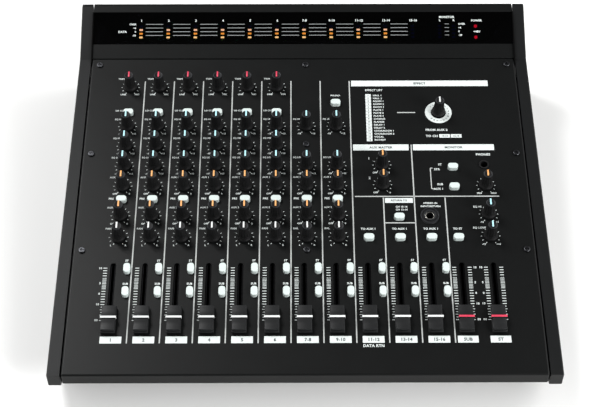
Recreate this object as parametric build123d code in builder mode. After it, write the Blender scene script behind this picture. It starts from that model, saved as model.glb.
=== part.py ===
from build123d import *

import os
from math import cos, radians, sin

# A table-top mixing console, in millimetres. The origin is on the table under the centre of the
# case; X runs to the user's right, Y to the rear and Z up, so the user sits on the -Y side.
# Places on the sloping control panel are (u, v): u across from the centre line, v up the slope
# from the panel's front edge. Heights over the panel, w, are along its normal.

# ---------------------------------------------------------------- driving dimensions
# Case
WIDTH = 410.0
DEPTH = 370.0
HEIGHT = 105.0
PANEL_TILT = 7.5
BRIDGE_TILT = 25.5
BRIDGE_LENGTH = 52.5
TOP_LEDGE = 3.4
SHEET = 1.2
BEND = 1.6
SEAM = 1.0
LIP_HEIGHT = 11.0
LID_SKIRT = 12.0
NOSE_SETBACK = 35.0
FOOT_HEIGHT = 7.0
REAR_INSET = 9.0
HOOD_DROP = 8.0
CHEEK_WIDTH = 10.4
CHEEK_WALL = 2.5
CHEEK_STEP = 0.6
CHEEK_NOSE_EXTRA = 2.5
CHEEK_GAP = 1.0
CHEEK_ROUND = 1.2
CHEEK_DROP = 1.0
WALL_DROP = 1.0
CLEARANCE = 0.2
FLANGE_SCREW_X = (-150.0, -50.0, 50.0, 150.0)
FLANGE_SCREW_INSET = 7.0

# Meter bridge
WINDOW_START = 14.7
WINDOW_END = 46.4
WINDOW_THICKNESS = 2.0
JOGGLE = 15.0
SEAM_ROUND = 0.5
RECESS_ROUND = 0.3
LEDGE_ROUND = 0.6
HOOD_ROUND = 0.8
LAMP_PITCH = 25.1
LAMP_ROW_PITCH = 3.67
LAMP_FIRST_U = -149.8
LAMP_FIRST_S = 22.5
LAMP_ROWS = 4
LAMP_LENGTH = 3.4
LAMP_WIDTH = 2.6
LAMP_GAP = 0.2
STEREO_LAMPS_U = (125.3, 138.3)
STATUS_LAMP_U = 158.0
STATUS_LAMPS_S = (21.0, 32.0)
STATUS_LAMP_RADIUS = 1.5
LAMP_CUTOUT_MARGIN = 3.0

# Control layout
CHANNEL_PITCH = 26.4
FIRST_CHANNEL_U = -156.2
MONO_CHANNELS = 6
DIAL_CHANNELS = 8
CHANNELS = 11
SUB_OFFSET = 22.6
MAIN_OFFSET = 48.9
TRIM_V = 289.0
LOW_CUT_V = 259.6
PHONO_V = 270.0
HIGH_V = 245.0
MID_V = 223.5
LOW_V = 202.0
AUX_1_V = 181.0
PRE_V = 166.4
AUX_2_V = 150.5
PAN_V = 129.0
SEND_V = 127.5
MAIN_ASSIGN_V = 97.4
SUB_ASSIGN_V = 75.2
ASSIGN_OFFSET = 9.1
EFFECT_OFFSET = 12.5
EFFECT_V = 260.0
MASTER_KNOB_OFFSET = 12.7
AUX_1_MASTER_V = 202.7
AUX_2_MASTER_V = 181.9
PHONES_JACK_V = 202.8
PHONES_V = 181.0
MAIN_HIGH_V = 151.5
MAIN_LOW_V = 129.4
RETURN_V = 149.3
RETURN_OFFSET = -1.2
SELECT_V = 148.0
SEND_OFFSET = -0.8
MONITOR_OFFSET = 21.5
MONITOR_V = (199.6, 179.0)

# Knobs and their potentiometers
KNOB_DIAMETER = 12.0
KNOB_TOP_DIAMETER = 7.6
KNOB_HEIGHT = 18.0
KNOB_GAP = 1.0
KNOB_SKIRT = 2.2
KNOB_SHOULDER = 1.0
STEM_DIAMETER = 6.0
STEM_RUNNING = 0.05
POINTER_WIDTH = 1.3
POINTER_LENGTH = 5.4
POINTER_DEPTH = 0.4
BUSHING_WALL = 1.2
POT_WIDTH = 9.5
POT_LENGTH = 10.5
POT_HEIGHT = 7.0
BOARD_DROP = 14.0
BOARD_THICKNESS = 1.6

# Push buttons
BUTTON_LENGTH = 8.8
BUTTON_WIDTH = 5.7
BUTTON_CORNER = 2.5
BUTTON_ROUND = 0.7
BUTTON_HEIGHT = 4.0
BUTTON_ROOT = 2.0
BUTTON_TRAVEL = 2.0
BUTTON_CLEARANCE = 0.3
BUTTON_STEM = 3.0
SWITCH_SIZE = 7.5

# Faders
FADER_REST_V = 49.0
FADER_TRAVEL = 50.0
FADER_OFFSET = -2.5
FADER_SLOT = 4.8
FADER_SLOT_SPARE = 2.6
CAP_LENGTH = 24.0
CAP_WIDTH = 12.0
CAP_END_HEIGHT = 6.0
CAP_RIDGE_HEIGHT = 7.5
CAP_RIDGE_WIDTH = 13.0
CAP_RIDGE_LENGTH = 2.4
CAP_SCOOP = 0.5
CAP_GAP = 1.0
LEVER_LENGTH = 3.2
LEVER_WIDTH = 1.4
LEVER_DEPTH = 8.5
LEVER_CLEARANCE = 0.4
TRACK_WIDTH = 9.0
TRACK_END = 8.0
TRACK_SCREW_INSET = 2.6
TRACK_SCREW_HOLE = 2.1
TRACK_SCREW_HEAD = 3.8
TRACK_SCREW_LENGTH = 5.0
TRACK_SCREW_CLEARANCE = 0.05

# Fasteners
SCREW_DIAMETER = 2.9
SCREW_LENGTH = 6.0
SCREW_HEAD = 5.5
SCREW_HEAD_HEIGHT = 1.7
SCREW_ROUND = 0.6
SCREW_CLEARANCE_HOLE = 3.2
SCREW_THREAD_HOLE = 3.0
DRIVE_WIDTH = 0.9
DRIVE_LENGTH = 3.2
DRIVE_DEPTH = 0.9
POST_DIAMETER = 6.5
SCREW_U = 186.0
SCREW_MID_U = 1.9
SCREW_V = (116.0, 215.0)
SCREW_MID_V = (116.0, 225.0)
SCREW_TOP_INSET = 7.3

# Sockets
JACK_BORE = 6.4
JACK_DEPTH = 24.0
JACK_BODY_WIDTH = 12.6
JACK_BODY_HEIGHT = 12.0
JACK_BODY_DEPTH = 26.0
JACK_NECK = 11.0
JACK_NUT = 14.0
JACK_NUT_HEIGHT = 2.4
JACK_NOSE = 3.2
PHONES_RING = 8.8
PHONES_RISE = 0.8
RETURN_RING = 16.0
RETURN_RISE = 1.2
RETURN_TAPER = 30.0
MIC_FLANGE_WIDTH = 25.0
MIC_FLANGE_HEIGHT = 29.0
MIC_FLANGE_THICKNESS = 1.6
MIC_FLANGE_CORNER = 3.0
MIC_BARREL = 22.0
MIC_DEPTH = 22.0
MIC_GROOVE_OUTER = 19.4
MIC_GROOVE_INNER = 15.6
MIC_GROOVE_DEPTH = 14.0
MIC_CONTACT = 2.5
MIC_CONTACT_CIRCLE = 8.2
MIC_SCREW_X = 9.2
MIC_SCREW_Z = 11.8
MIC_GAP = 1.0
PHONO_SLEEVE = 8.3
PHONO_REACH = 8.5
PHONO_HOLE = 3.4
PHONO_BODY = 10.0
PHONO_SPACING = 11.0
REAR_TOP_Z = 70.0
REAR_MIC_Z = 70.0
REAR_LINE_Z = 38.0
REAR_LOWER_Z = 46.0
REAR_BASE_Z = 24.0
USB_WIDTH = 12.0
USB_HEIGHT = 11.0
USB_MOUTH_WIDTH = 8.6
USB_MOUTH_HEIGHT = 7.8
USB_DEPTH = 16.0
USB_TONGUE_WIDTH = 5.6
USB_TONGUE_HEIGHT = 3.2
USB_TONGUE_SETBACK = 5.0
INLET_WIDTH = 11.0
INLET_HEIGHT = 11.0
INLET_DEPTH = 14.0
INLET_BORE = 6.3
INLET_PIN = 2.1
INLET_PIN_GAP = 0.05
INLET_WALL = 2.0
SWITCH_BEZEL_WIDTH = 15.4
SWITCH_BEZEL_HEIGHT = 21.0
SWITCH_BEZEL = 1.5
SWITCH_CAVITY_WIDTH = 11.6
SWITCH_CAVITY_HEIGHT = 17.0
SWITCH_CAVITY_DEPTH = 9.0
SWITCH_WALL = 0.9
ROCKER_WIDTH = 10.8
ROCKER_TOP_LENGTH = 15.2
ROCKER_BASE_LENGTH = 11.0
ROCKER_EDGE = 1.2
ROCKER_CROWN = 2.2
ROCKER_DEPTH = 6.0
ROCKER_TILT = 9.0
ROCKER_PIVOT_DEPTH = 2.5
ROCKER_PIN = 3.0
ROCKER_PIN_RUNNING = 0.05

# Feet and inner boards
FOOT_DIAMETER = 16.0
FOOT_X = 170.0
FOOT_FRONT_Y = -130.0
FOOT_REAR_Y = 160.0
FOOT_RECESS_DIAMETER = 7.2
FOOT_RECESS_DEPTH = 3.4
CONTROL_BOARD_START = 22.0
CONTROL_BOARD_MARGIN = 22.0
CONTROL_BOARD_HALF_WIDTH = 188.0
JACK_BOARD_HALF_WIDTH = 178.0
JACK_BOARD_BOTTOM = 14.0
JACK_BOARD_TOP = 78.0
JACK_CUTOUT_MARGIN = 0.5
METER_BOARD_START = 16.0
METER_BOARD_END = 41.0
METER_BOARD_HALF_WIDTH = 172.0
RIBBON_WIDTH = 26.0
RIBBON_THICKNESS = 1.0
RIBBON_X = -30.0
RIBBON_INSET = 12.0
RIBBON_FALL = 14.0
RIBBON_BEND = 6.0
CHEEK_BOSS = 7.0
CHEEK_BOSSES = ((-120.0, 25.0), (20.0, 30.0), (150.0, 40.0))

# ---------------------------------------------------------------- places worked out from them
FRONT_Y = -DEPTH / 2
REAR_Y = DEPTH / 2
BASE_Z = FOOT_HEIGHT
TILT = radians(PANEL_TILT)
SLOPE = radians(BRIDGE_TILT)
PANEL_LENGTH = (DEPTH - TOP_LEDGE - BRIDGE_LENGTH * cos(SLOPE)) / cos(TILT)
PANEL_FRONT_Z = HEIGHT - BRIDGE_LENGTH * sin(SLOPE) - PANEL_LENGTH * sin(TILT)
CHEEK_INNER = WIDTH / 2 - CHEEK_WIDTH
LID_HALF = CHEEK_INNER - CHEEK_GAP
WALL_OUTER = LID_HALF - BEND
WALL_INNER = WALL_OUTER - SHEET
LID_LENGTH = PANEL_LENGTH - SEAM / 2
REAR_FACE_Y = REAR_Y - REAR_INSET
FADER_MID_V = FADER_REST_V + FADER_TRAVEL / 2
FADER_SWEEP = FADER_TRAVEL + LEVER_LENGTH + 2 * (LEVER_CLEARANCE + FADER_SLOT_SPARE)
TRACK_LENGTH = FADER_SWEEP + 2 * TRACK_END
TRACK_SCREW_V = FADER_SWEEP / 2 + TRACK_SCREW_INSET
SCREW_TOP_V = PANEL_LENGTH - SCREW_TOP_INSET
CONTROL_BOARD_END = PANEL_LENGTH - CONTROL_BOARD_MARGIN
JACK_BOARD_Y = REAR_FACE_Y - SHEET - JACK_BODY_DEPTH - BOARD_THICKNESS
NOSE_FRONT_Y = FRONT_Y + SHEET + CLEARANCE
RECESS_FLOOR = WINDOW_THICKNESS + SHEET

panel = Plane(origin=(0, FRONT_Y, PANEL_FRONT_Z), x_dir=(1, 0, 0), z_dir=(0, -sin(TILT), cos(TILT)))
bridge = Plane(
    origin=(0, FRONT_Y + PANEL_LENGTH * cos(TILT), PANEL_FRONT_Z + PANEL_LENGTH * sin(TILT)),
    x_dir=(1, 0, 0),
    z_dir=(0, -sin(SLOPE), cos(SLOPE)),
)
rear = Plane(origin=(0, REAR_FACE_Y, 0), x_dir=(-1, 0, 0), z_dir=(0, 1, 0))


def on_panel(v, w):
    """(y, z) of the point v up the panel and w over it."""
    point = panel.from_local_coords((0, v, w))
    return point.Y, point.Z


def on_bridge(s, w):
    """(y, z) of the point s up the meter bridge and w over it."""
    point = bridge.from_local_coords((0, s, w))
    return point.Y, point.Z


def column(number):
    """u of a channel strip's centre line, the first strip being number 0."""
    return FIRST_CHANNEL_U + number * CHANNEL_PITCH


def on_rear(x, z):
    """A place on the rear face, whose own x runs the other way."""
    return -x, z


SUB_U = column(CHANNELS - 1) + SUB_OFFSET
MAIN_U = column(CHANNELS - 1) + MAIN_OFFSET
LAST_U = column(CHANNELS - 1)

# Knobs that turn on their own: name and place
SINGLE_KNOBS = {
    "effect_knob": (LAST_U + EFFECT_OFFSET, EFFECT_V),
    "aux_1_master_knob": (column(8) + MASTER_KNOB_OFFSET, AUX_1_MASTER_V),
    "aux_2_master_knob": (column(8) + MASTER_KNOB_OFFSET, AUX_2_MASTER_V),
    "phones_knob": (MAIN_U, PHONES_V),
    "main_high_knob": (MAIN_U, MAIN_HIGH_V),
    "main_low_knob": (MAIN_U, MAIN_LOW_V),
    "trim_knob_1": (column(0), TRIM_V),
    "high_knob_1": (column(0), HIGH_V),
    "mid_knob_1": (column(0), MID_V),
    "low_knob_1": (column(0), LOW_V),
    "aux_1_knob_1": (column(0), AUX_1_V),
    "aux_2_knob_1": (column(0), AUX_2_V),
    "pan_knob_1": (column(0), PAN_V),
}
MONO_ROWS = (TRIM_V, HIGH_V, MID_V, LOW_V, AUX_1_V, AUX_2_V, PAN_V)
STEREO_ROWS = (HIGH_V, LOW_V, AUX_1_V, AUX_2_V, PAN_V)
channel_knob_places = [(column(n), v) for n in range(1, MONO_CHANNELS) for v in MONO_ROWS]
channel_knob_places += [(column(n), v) for n in range(MONO_CHANNELS, DIAL_CHANNELS) for v in STEREO_ROWS]
pot_places = channel_knob_places + list(SINGLE_KNOBS.values())

# Buttons: the long way across the strip, or up it
low_cut_places = [(column(n), LOW_CUT_V) for n in range(MONO_CHANNELS)]
pre_fade_places = [(column(n), PRE_V) for n in range(DIAL_CHANNELS)]
main_assign_places = [(column(n) + ASSIGN_OFFSET, MAIN_ASSIGN_V) for n in range(CHANNELS)]
sub_assign_places = [(column(n) + ASSIGN_OFFSET, SUB_ASSIGN_V) for n in range(CHANNELS)]
master_places = [(column(n) + SEND_OFFSET, SEND_V) for n in range(DIAL_CHANNELS, CHANNELS)]
master_places += [
    (SUB_U + SEND_OFFSET, SEND_V),
    (column(9) + SEND_OFFSET, SELECT_V),
    (column(7), PHONO_V),
]
master_places += [(LAST_U + MONITOR_OFFSET, v) for v in MONITOR_V]
across_places = low_cut_places + pre_fade_places + master_places
upright_places = main_assign_places + sub_assign_places

# Faders: name and u of the slot
FADERS = {f"fader_{n + 1}": column(n) + FADER_OFFSET for n in range(MONO_CHANNELS)}
for n in range(MONO_CHANNELS, CHANNELS):
    left_input = 2 * n - MONO_CHANNELS + 1
    FADERS[f"fader_{left_input}_{left_input + 1}"] = column(n) + FADER_OFFSET
FADERS["fader_sub"] = SUB_U
FADERS["fader_main"] = MAIN_U
fader_screw_places = [
    (u, FADER_MID_V + side * TRACK_SCREW_V) for u in FADERS.values() for side in (-1, 1)
]

# Sockets in the top panel
PHONES_PLACE = (MAIN_U, PHONES_JACK_V)
RETURN_PLACE = (LAST_U + RETURN_OFFSET, RETURN_V)

# Panel screws: three of them hold the bridge's flange, the others hold the board posts
post_places = [(side * SCREW_U, v) for side in (-1, 1) for v in SCREW_V]
post_places += [(SCREW_MID_U, v) for v in SCREW_MID_V]
flange_screw_places = [(u, SCREW_TOP_V) for u in (-SCREW_U, SCREW_MID_U, SCREW_U)]

# Rear face: name of the kind and its places. The microphone flanges keep a gap between them
# even when the strips are narrower than a flange, and spread away from the jacks
MIC_PITCH = max(CHANNEL_PITCH, MIC_FLANGE_WIDTH + MIC_GAP)
MIC_LAST_U = column(MONO_CHANNELS - 1)
mic_places = [on_rear(MIC_LAST_U - n * MIC_PITCH, REAR_MIC_Z) for n in reversed(range(MONO_CHANNELS))]
line_places = [on_rear(column(n), REAR_LINE_Z) for n in range(MONO_CHANNELS)]
line_places += [
    on_rear(x, z)
    for x in (column(6), column(7), column(8), SUB_U, MAIN_U)
    for z in (REAR_TOP_Z, REAR_LOWER_Z)
]
phono_places = [on_rear(column(n), z) for n in (9, 10) for z in (REAR_TOP_Z, REAR_LOWER_Z)]
phono_places += [on_rear(column(7) + side * PHONO_SPACING / 2, REAR_BASE_Z) for side in (-1, 1)]
usb_place = on_rear(column(9), REAR_BASE_Z)
inlet_place = on_rear(SUB_U, REAR_BASE_Z)
power_place = on_rear(MAIN_U, REAR_BASE_Z)
mic_screw_places = [
    (x + side * MIC_SCREW_X, z + side * MIC_SCREW_Z) for x, z in mic_places for side in (-1, 1)
]

feet_places = [(side * FOOT_X, y) for side in (-1, 1) for y in (FOOT_FRONT_Y, FOOT_REAR_Y)]
rear_flange_places = [(x, REAR_FACE_Y - FLANGE_SCREW_INSET) for x in FLANGE_SCREW_X]


# ---------------------------------------------------------------- top panel
# A folded sheet lid: the sloping face, a front lip and a skirt down each side
with BuildPart(panel) as top_panel:
    with BuildSketch(Plane.YZ):
        with BuildLine():
            Polyline(
                on_panel(0, 0),
                on_panel(LID_LENGTH, 0),
                on_panel(LID_LENGTH, -LID_SKIRT),
                (FRONT_Y, PANEL_FRONT_Z - LIP_HEIGHT),
                close=True,
            )
        make_face()
    extrude(amount=LID_HALF, both=True)
    slope_edges = edges().filter_by(Axis((0, 0, 0), (0, cos(TILT), sin(TILT))))
    front_edge = edges().filter_by(Axis.X).group_by(Axis.Y)[0].sort_by(Axis.Z)[-1]
    corner_edges = edges().filter_by(Axis.Z)
    fillet(slope_edges + corner_edges + [front_edge], BEND)
    rear_end = faces().filter_by(Axis((0, 0, 0), (0, cos(TILT), sin(TILT)))).sort_by(Axis.Y)[-1]
    underside = faces().filter_by(GeomType.PLANE).sort_by(SortBy.AREA)[-2:].sort_by(Axis.Z)[0]
    offset(amount=-SHEET, openings=[rear_end, underside])
    with BuildSketch(panel):
        with Locations(*pot_places):
            Circle(STEM_DIAMETER / 2 + BUSHING_WALL)
        with Locations(*across_places):
            RectangleRounded(
                BUTTON_LENGTH + 2 * BUTTON_CLEARANCE,
                BUTTON_WIDTH + 2 * BUTTON_CLEARANCE,
                BUTTON_CORNER + BUTTON_CLEARANCE,
            )
        with Locations(*upright_places):
            RectangleRounded(
                BUTTON_WIDTH + 2 * BUTTON_CLEARANCE,
                BUTTON_LENGTH + 2 * BUTTON_CLEARANCE,
                BUTTON_CORNER + BUTTON_CLEARANCE,
            )
        with Locations(*[(u, FADER_MID_V) for u in FADERS.values()]):
            SlotOverall(FADER_SWEEP, FADER_SLOT, rotation=90)
        with Locations(PHONES_PLACE):
            Circle(PHONES_RING / 2 + CLEARANCE)
        with Locations(RETURN_PLACE):
            Circle(JACK_NECK / 2 + CLEARANCE)
        with Locations(*(post_places + flange_screw_places)):
            Circle(SCREW_CLEARANCE_HOLE / 2)
    extrude(amount=-2 * SHEET, mode=Mode.SUBTRACT)
    with Locations(*fader_screw_places):
        CounterSinkHole(TRACK_SCREW_HOLE / 2, TRACK_SCREW_HEAD / 2, depth=2 * SHEET, counter_sink_angle=90)

# ---------------------------------------------------------------- meter bridge
# A folded sheet: lower strip, a recess across the whole width for the window, top strip,
# ledge and rear hood. A joggled flange runs under the panel's rear edge.
with BuildPart(bridge) as meter_bridge:
    with BuildSketch(Plane.YZ):
        with BuildLine():
            FilletPolyline(
                on_panel(PANEL_LENGTH + SEAM / 2, -SHEET),
                on_bridge(SEAM / 2, 0),
                on_bridge(WINDOW_START, 0),
                on_bridge(WINDOW_START, -WINDOW_THICKNESS),
                on_bridge(WINDOW_END, -WINDOW_THICKNESS),
                on_bridge(WINDOW_END, 0),
                on_bridge(BRIDGE_LENGTH, 0),
                (REAR_Y, HEIGHT),
                (REAR_Y, HEIGHT - HOOD_DROP),
                (REAR_Y - SHEET, HEIGHT - HOOD_DROP),
                (REAR_Y - SHEET, HEIGHT - SHEET),
                on_bridge(BRIDGE_LENGTH, -SHEET),
                on_bridge(WINDOW_END + SHEET, -SHEET),
                on_bridge(WINDOW_END + SHEET, -RECESS_FLOOR),
                on_bridge(WINDOW_START - SHEET, -RECESS_FLOOR),
                on_bridge(WINDOW_START - SHEET, -SHEET),
                on_bridge(SEAM / 2 + SHEET, -SHEET),
                on_panel(PANEL_LENGTH + SEAM / 2 + SHEET, -2 * SHEET),
                on_panel(PANEL_LENGTH + SEAM / 2, -2 * SHEET),
                radius=[0, SEAM_ROUND, RECESS_ROUND, 0, 0, RECESS_ROUND, LEDGE_ROUND, HOOD_ROUND] + [0] * 11,
                close=True,
            )
        make_face()
    extrude(amount=LID_HALF, both=True)
    with BuildSketch(Plane.YZ):
        with BuildLine():
            Polyline(
                on_panel(PANEL_LENGTH - JOGGLE, -SHEET),
                on_panel(PANEL_LENGTH + SEAM / 2, -SHEET),
                on_panel(PANEL_LENGTH + SEAM / 2, -2 * SHEET),
                on_panel(PANEL_LENGTH - JOGGLE, -2 * SHEET),
                close=True,
            )
        make_face()
    extrude(amount=WALL_INNER - CLEARANCE, both=True)
    with BuildSketch(bridge.offset(-WINDOW_THICKNESS)):
        with Locations((0, (METER_BOARD_START + METER_BOARD_END) / 2)):
            Rectangle(
                2 * (METER_BOARD_HALF_WIDTH - LAMP_CUTOUT_MARGIN),
                METER_BOARD_END - METER_BOARD_START - 2 * LAMP_CUTOUT_MARGIN,
            )
    extrude(amount=-2 * SHEET, mode=Mode.SUBTRACT)
    with BuildSketch(panel.offset(-SHEET)):
        with Locations(*flange_screw_places):
            Circle(SCREW_THREAD_HOLE / 2)
    extrude(amount=-2 * SHEET, mode=Mode.SUBTRACT)

# Smoked acrylic strip that fills the recess
with BuildPart() as meter_window:
    with BuildSketch(bridge.offset(-WINDOW_THICKNESS)):
        with Locations((0, (WINDOW_START + WINDOW_END) / 2)):
            Rectangle(2 * (LID_HALF - CLEARANCE), WINDOW_END - WINDOW_START - 2 * CLEARANCE)
    extrude(amount=WINDOW_THICKNESS)

# ---------------------------------------------------------------- side cheeks
# Moulded shells, open towards the case, with three screw bosses
cheek_outline = (
    (FRONT_Y, PANEL_FRONT_Z - CHEEK_STEP),
    on_panel(PANEL_LENGTH, -CHEEK_STEP),
    on_bridge(BRIDGE_LENGTH, -CHEEK_STEP),
    (REAR_Y, HEIGHT - CHEEK_STEP),
    (REAR_Y, BASE_Z - CHEEK_DROP),
    (FRONT_Y + NOSE_SETBACK, BASE_Z - CHEEK_DROP),
    (FRONT_Y, PANEL_FRONT_Z - LIP_HEIGHT - CHEEK_NOSE_EXTRA),
)
with BuildPart() as right_cheek:
    with BuildSketch(Plane.YZ.offset(CHEEK_INNER)):
        with BuildLine():
            Polyline(*cheek_outline, close=True)
        make_face()
    extrude(amount=CHEEK_WIDTH)
    outer_face = faces().filter_by(Axis.X).sort_by(Axis.X)[-1]
    fillet(outer_face.edges(), CHEEK_ROUND)
    inner_face = faces().filter_by(Axis.X).sort_by(Axis.X)[0]
    offset(amount=-CHEEK_WALL, openings=inner_face)
    with BuildSketch(Plane.YZ.offset(WALL_OUTER)):
        with Locations(*CHEEK_BOSSES):
            Circle(CHEEK_BOSS / 2)
    extrude(amount=WIDTH / 2 - CHEEK_WALL - WALL_OUTER)
    with BuildSketch(Plane.YZ.offset(WALL_OUTER)):
        with Locations(*CHEEK_BOSSES):
            Circle(SCREW_THREAD_HOLE / 2)
    extrude(amount=SCREW_LENGTH, mode=Mode.SUBTRACT)

with BuildPart() as left_cheek:
    add(mirror(right_cheek.part, about=Plane.YZ, mode=Mode.PRIVATE))

# ---------------------------------------------------------------- bottom pan
# Floor, slanting front and the two side walls that the lid and the bridge rest on
pan_floor_front = (FRONT_Y + NOSE_SETBACK, BASE_Z)
pan_nose = (NOSE_FRONT_Y, PANEL_FRONT_Z - LIP_HEIGHT)
with BuildPart() as bottom_pan:
    with BuildSketch(Plane.YZ):
        with BuildLine():
            Polyline(
                (REAR_Y - CHEEK_WALL, BASE_Z),
                pan_floor_front,
                pan_nose,
                (NOSE_FRONT_Y, PANEL_FRONT_Z - 2 * SHEET),
                (NOSE_FRONT_Y + SHEET, PANEL_FRONT_Z - 2 * SHEET),
                (NOSE_FRONT_Y + SHEET, pan_nose[1] + SHEET / 2),
                (pan_floor_front[0] + SHEET / 2, BASE_Z + SHEET),
                (REAR_Y - CHEEK_WALL, BASE_Z + SHEET),
                close=True,
            )
        make_face()
    extrude(amount=WALL_OUTER, both=True)
    for side in (-1, 1):
        with BuildSketch(Plane.YZ.offset(side * (WALL_INNER + SHEET / 2))):
            with BuildLine():
                Polyline(
                    pan_floor_front,
                    pan_nose,
                    (NOSE_FRONT_Y, PANEL_FRONT_Z - 2 * SHEET),
                    on_panel(2 * SHEET, -SHEET),
                    on_panel(PANEL_LENGTH - JOGGLE - SHEET, -SHEET),
                    on_panel(PANEL_LENGTH - JOGGLE - SHEET, -RECESS_FLOOR - WALL_DROP),
                    on_bridge(0, -RECESS_FLOOR - WALL_DROP),
                    on_bridge(BRIDGE_LENGTH, -RECESS_FLOOR - WALL_DROP),
                    (REAR_Y - CHEEK_WALL, HEIGHT - RECESS_FLOOR - 2 * WALL_DROP),
                    (REAR_Y - CHEEK_WALL, BASE_Z),
                    close=True,
                )
            make_face()
        extrude(amount=SHEET / 2, both=True)
        with BuildSketch(Plane.YZ.offset(side * WALL_INNER)):
            with Locations(*CHEEK_BOSSES):
                Circle(SCREW_CLEARANCE_HOLE / 2)
        extrude(amount=side * SHEET, mode=Mode.SUBTRACT)
    with BuildSketch(Plane.XY.offset(BASE_Z)):
        with Locations(*(feet_places + rear_flange_places)):
            Circle(SCREW_CLEARANCE_HOLE / 2)
    extrude(amount=2 * SHEET, mode=Mode.SUBTRACT)

# ---------------------------------------------------------------- rear panel
REAR_PANEL_TOP = on_bridge(WINDOW_END, -RECESS_FLOOR)[1] - 2 * SHEET
with BuildPart() as rear_panel:
    with BuildSketch(Plane.YZ):
        with BuildLine():
            Polyline(
                (REAR_FACE_Y, BASE_Z + SHEET),
                (REAR_FACE_Y, REAR_PANEL_TOP),
                (REAR_FACE_Y - SHEET, REAR_PANEL_TOP),
                (REAR_FACE_Y - SHEET, BASE_Z + 2 * SHEET),
                (REAR_FACE_Y - JACK_BODY_HEIGHT, BASE_Z + 2 * SHEET),
                (REAR_FACE_Y - JACK_BODY_HEIGHT, BASE_Z + SHEET),
                close=True,
            )
        make_face()
    extrude(amount=WALL_INNER - CLEARANCE, both=True)
    with BuildSketch(rear):
        with Locations(*mic_places):
            Circle(MIC_BARREL / 2 + CLEARANCE)
        with Locations(*line_places):
            Circle(JACK_NECK / 2 + CLEARANCE)
        with Locations(*phono_places):
            Circle(PHONO_SLEEVE / 2 + CLEARANCE)
        with Locations(usb_place):
            Rectangle(USB_WIDTH + 2 * CLEARANCE, USB_HEIGHT + 2 * CLEARANCE)
        with Locations(inlet_place):
            Circle(INLET_BORE / 2 + INLET_WALL)
        with Locations(power_place):
            Rectangle(
                SWITCH_CAVITY_WIDTH + 2 * SWITCH_WALL + 2 * CLEARANCE,
                SWITCH_CAVITY_HEIGHT + 2 * SWITCH_WALL + 2 * CLEARANCE,
            )
        with Locations(*mic_screw_places):
            Circle(SCREW_THREAD_HOLE / 2)
    extrude(amount=-2 * SHEET, mode=Mode.SUBTRACT)
    with BuildSketch(Plane.XY.offset(BASE_Z + SHEET)):
        with Locations(*rear_flange_places):
            Circle(SCREW_THREAD_HOLE / 2)
    extrude(amount=SHEET, mode=Mode.SUBTRACT)

# ---------------------------------------------------------------- knob, in its own frame
# Skirt, tapering grip with a pointer groove, and the shaft that turns in the potentiometer
with BuildPart() as knob:
    with BuildSketch(Plane.XZ):
        with BuildLine():
            Polyline(
                (0, -BOARD_DROP + POT_HEIGHT / 2),
                (STEM_DIAMETER / 2, -BOARD_DROP + POT_HEIGHT / 2),
                (STEM_DIAMETER / 2, KNOB_GAP),
                (KNOB_DIAMETER / 2, KNOB_GAP),
                (KNOB_DIAMETER / 2, KNOB_GAP + KNOB_SKIRT),
                (KNOB_DIAMETER / 2 - KNOB_SHOULDER, KNOB_GAP + 2 * KNOB_SKIRT),
                (KNOB_TOP_DIAMETER / 2, KNOB_HEIGHT),
                (0, KNOB_HEIGHT),
                close=True,
            )
        make_face()
    revolve(axis=Axis.Z)
    with BuildSketch(Plane.XY.offset(KNOB_HEIGHT)):
        with Locations((0, KNOB_TOP_DIAMETER / 2)):
            Rectangle(POINTER_WIDTH, 2 * POINTER_LENGTH)
    extrude(amount=-POINTER_DEPTH, mode=Mode.SUBTRACT)

# Potentiometer: body on the board and a bushing under the panel, bored for the shaft
with BuildPart() as pot:
    with BuildSketch(Plane.XY.offset(-BOARD_DROP)):
        Rectangle(POT_WIDTH, POT_LENGTH)
    extrude(amount=POT_HEIGHT)
    with BuildSketch(Plane.XY.offset(-BOARD_DROP + POT_HEIGHT)):
        Circle(STEM_DIAMETER / 2 + BUSHING_WALL)
    extrude(amount=BOARD_DROP - POT_HEIGHT - SHEET - CLEARANCE)
    with BuildSketch(Plane.XY.offset(-SHEET)):
        Circle(STEM_DIAMETER / 2 + STEM_RUNNING)
    extrude(amount=-(BOARD_DROP - POT_HEIGHT / 2 - SHEET + CLEARANCE), mode=Mode.SUBTRACT)

with BuildPart(panel) as channel_knobs:
    with Locations(*channel_knob_places):
        add(knob.part)

with BuildPart(panel) as pot_bodies:
    with Locations(*pot_places):
        add(pot.part)

single_knobs = {}
for name, place in SINGLE_KNOBS.items():
    with BuildPart(panel) as placed_knob:
        with Locations(place):
            add(knob.part)
    single_knobs[name] = placed_knob.part

# ---------------------------------------------------------------- push button and its switch
with BuildPart() as button:
    with BuildSketch(Plane.XY.offset(-BUTTON_ROOT)):
        RectangleRounded(BUTTON_LENGTH, BUTTON_WIDTH, BUTTON_CORNER)
    extrude(amount=BUTTON_ROOT + BUTTON_HEIGHT)
    fillet(edges().group_by(Axis.Z)[-1], BUTTON_ROUND)
    with BuildSketch(Plane.XY.offset(-BUTTON_ROOT)):
        Rectangle(BUTTON_STEM, BUTTON_STEM)
    extrude(amount=-3 * BUTTON_TRAVEL)

SWITCH_TOP = BUTTON_ROOT + BUTTON_TRAVEL + 2 * BUTTON_CLEARANCE
with BuildPart() as switch:
    with BuildSketch(Plane.XY.offset(-BOARD_DROP)):
        Rectangle(SWITCH_SIZE, SWITCH_SIZE)
    extrude(amount=BOARD_DROP - SWITCH_TOP)
    with BuildSketch(Plane.XY.offset(-SWITCH_TOP)):
        Rectangle(BUTTON_STEM + 2 * LEVER_CLEARANCE, BUTTON_STEM + 2 * LEVER_CLEARANCE)
    extrude(amount=-3 * BUTTON_TRAVEL, mode=Mode.SUBTRACT)

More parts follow.
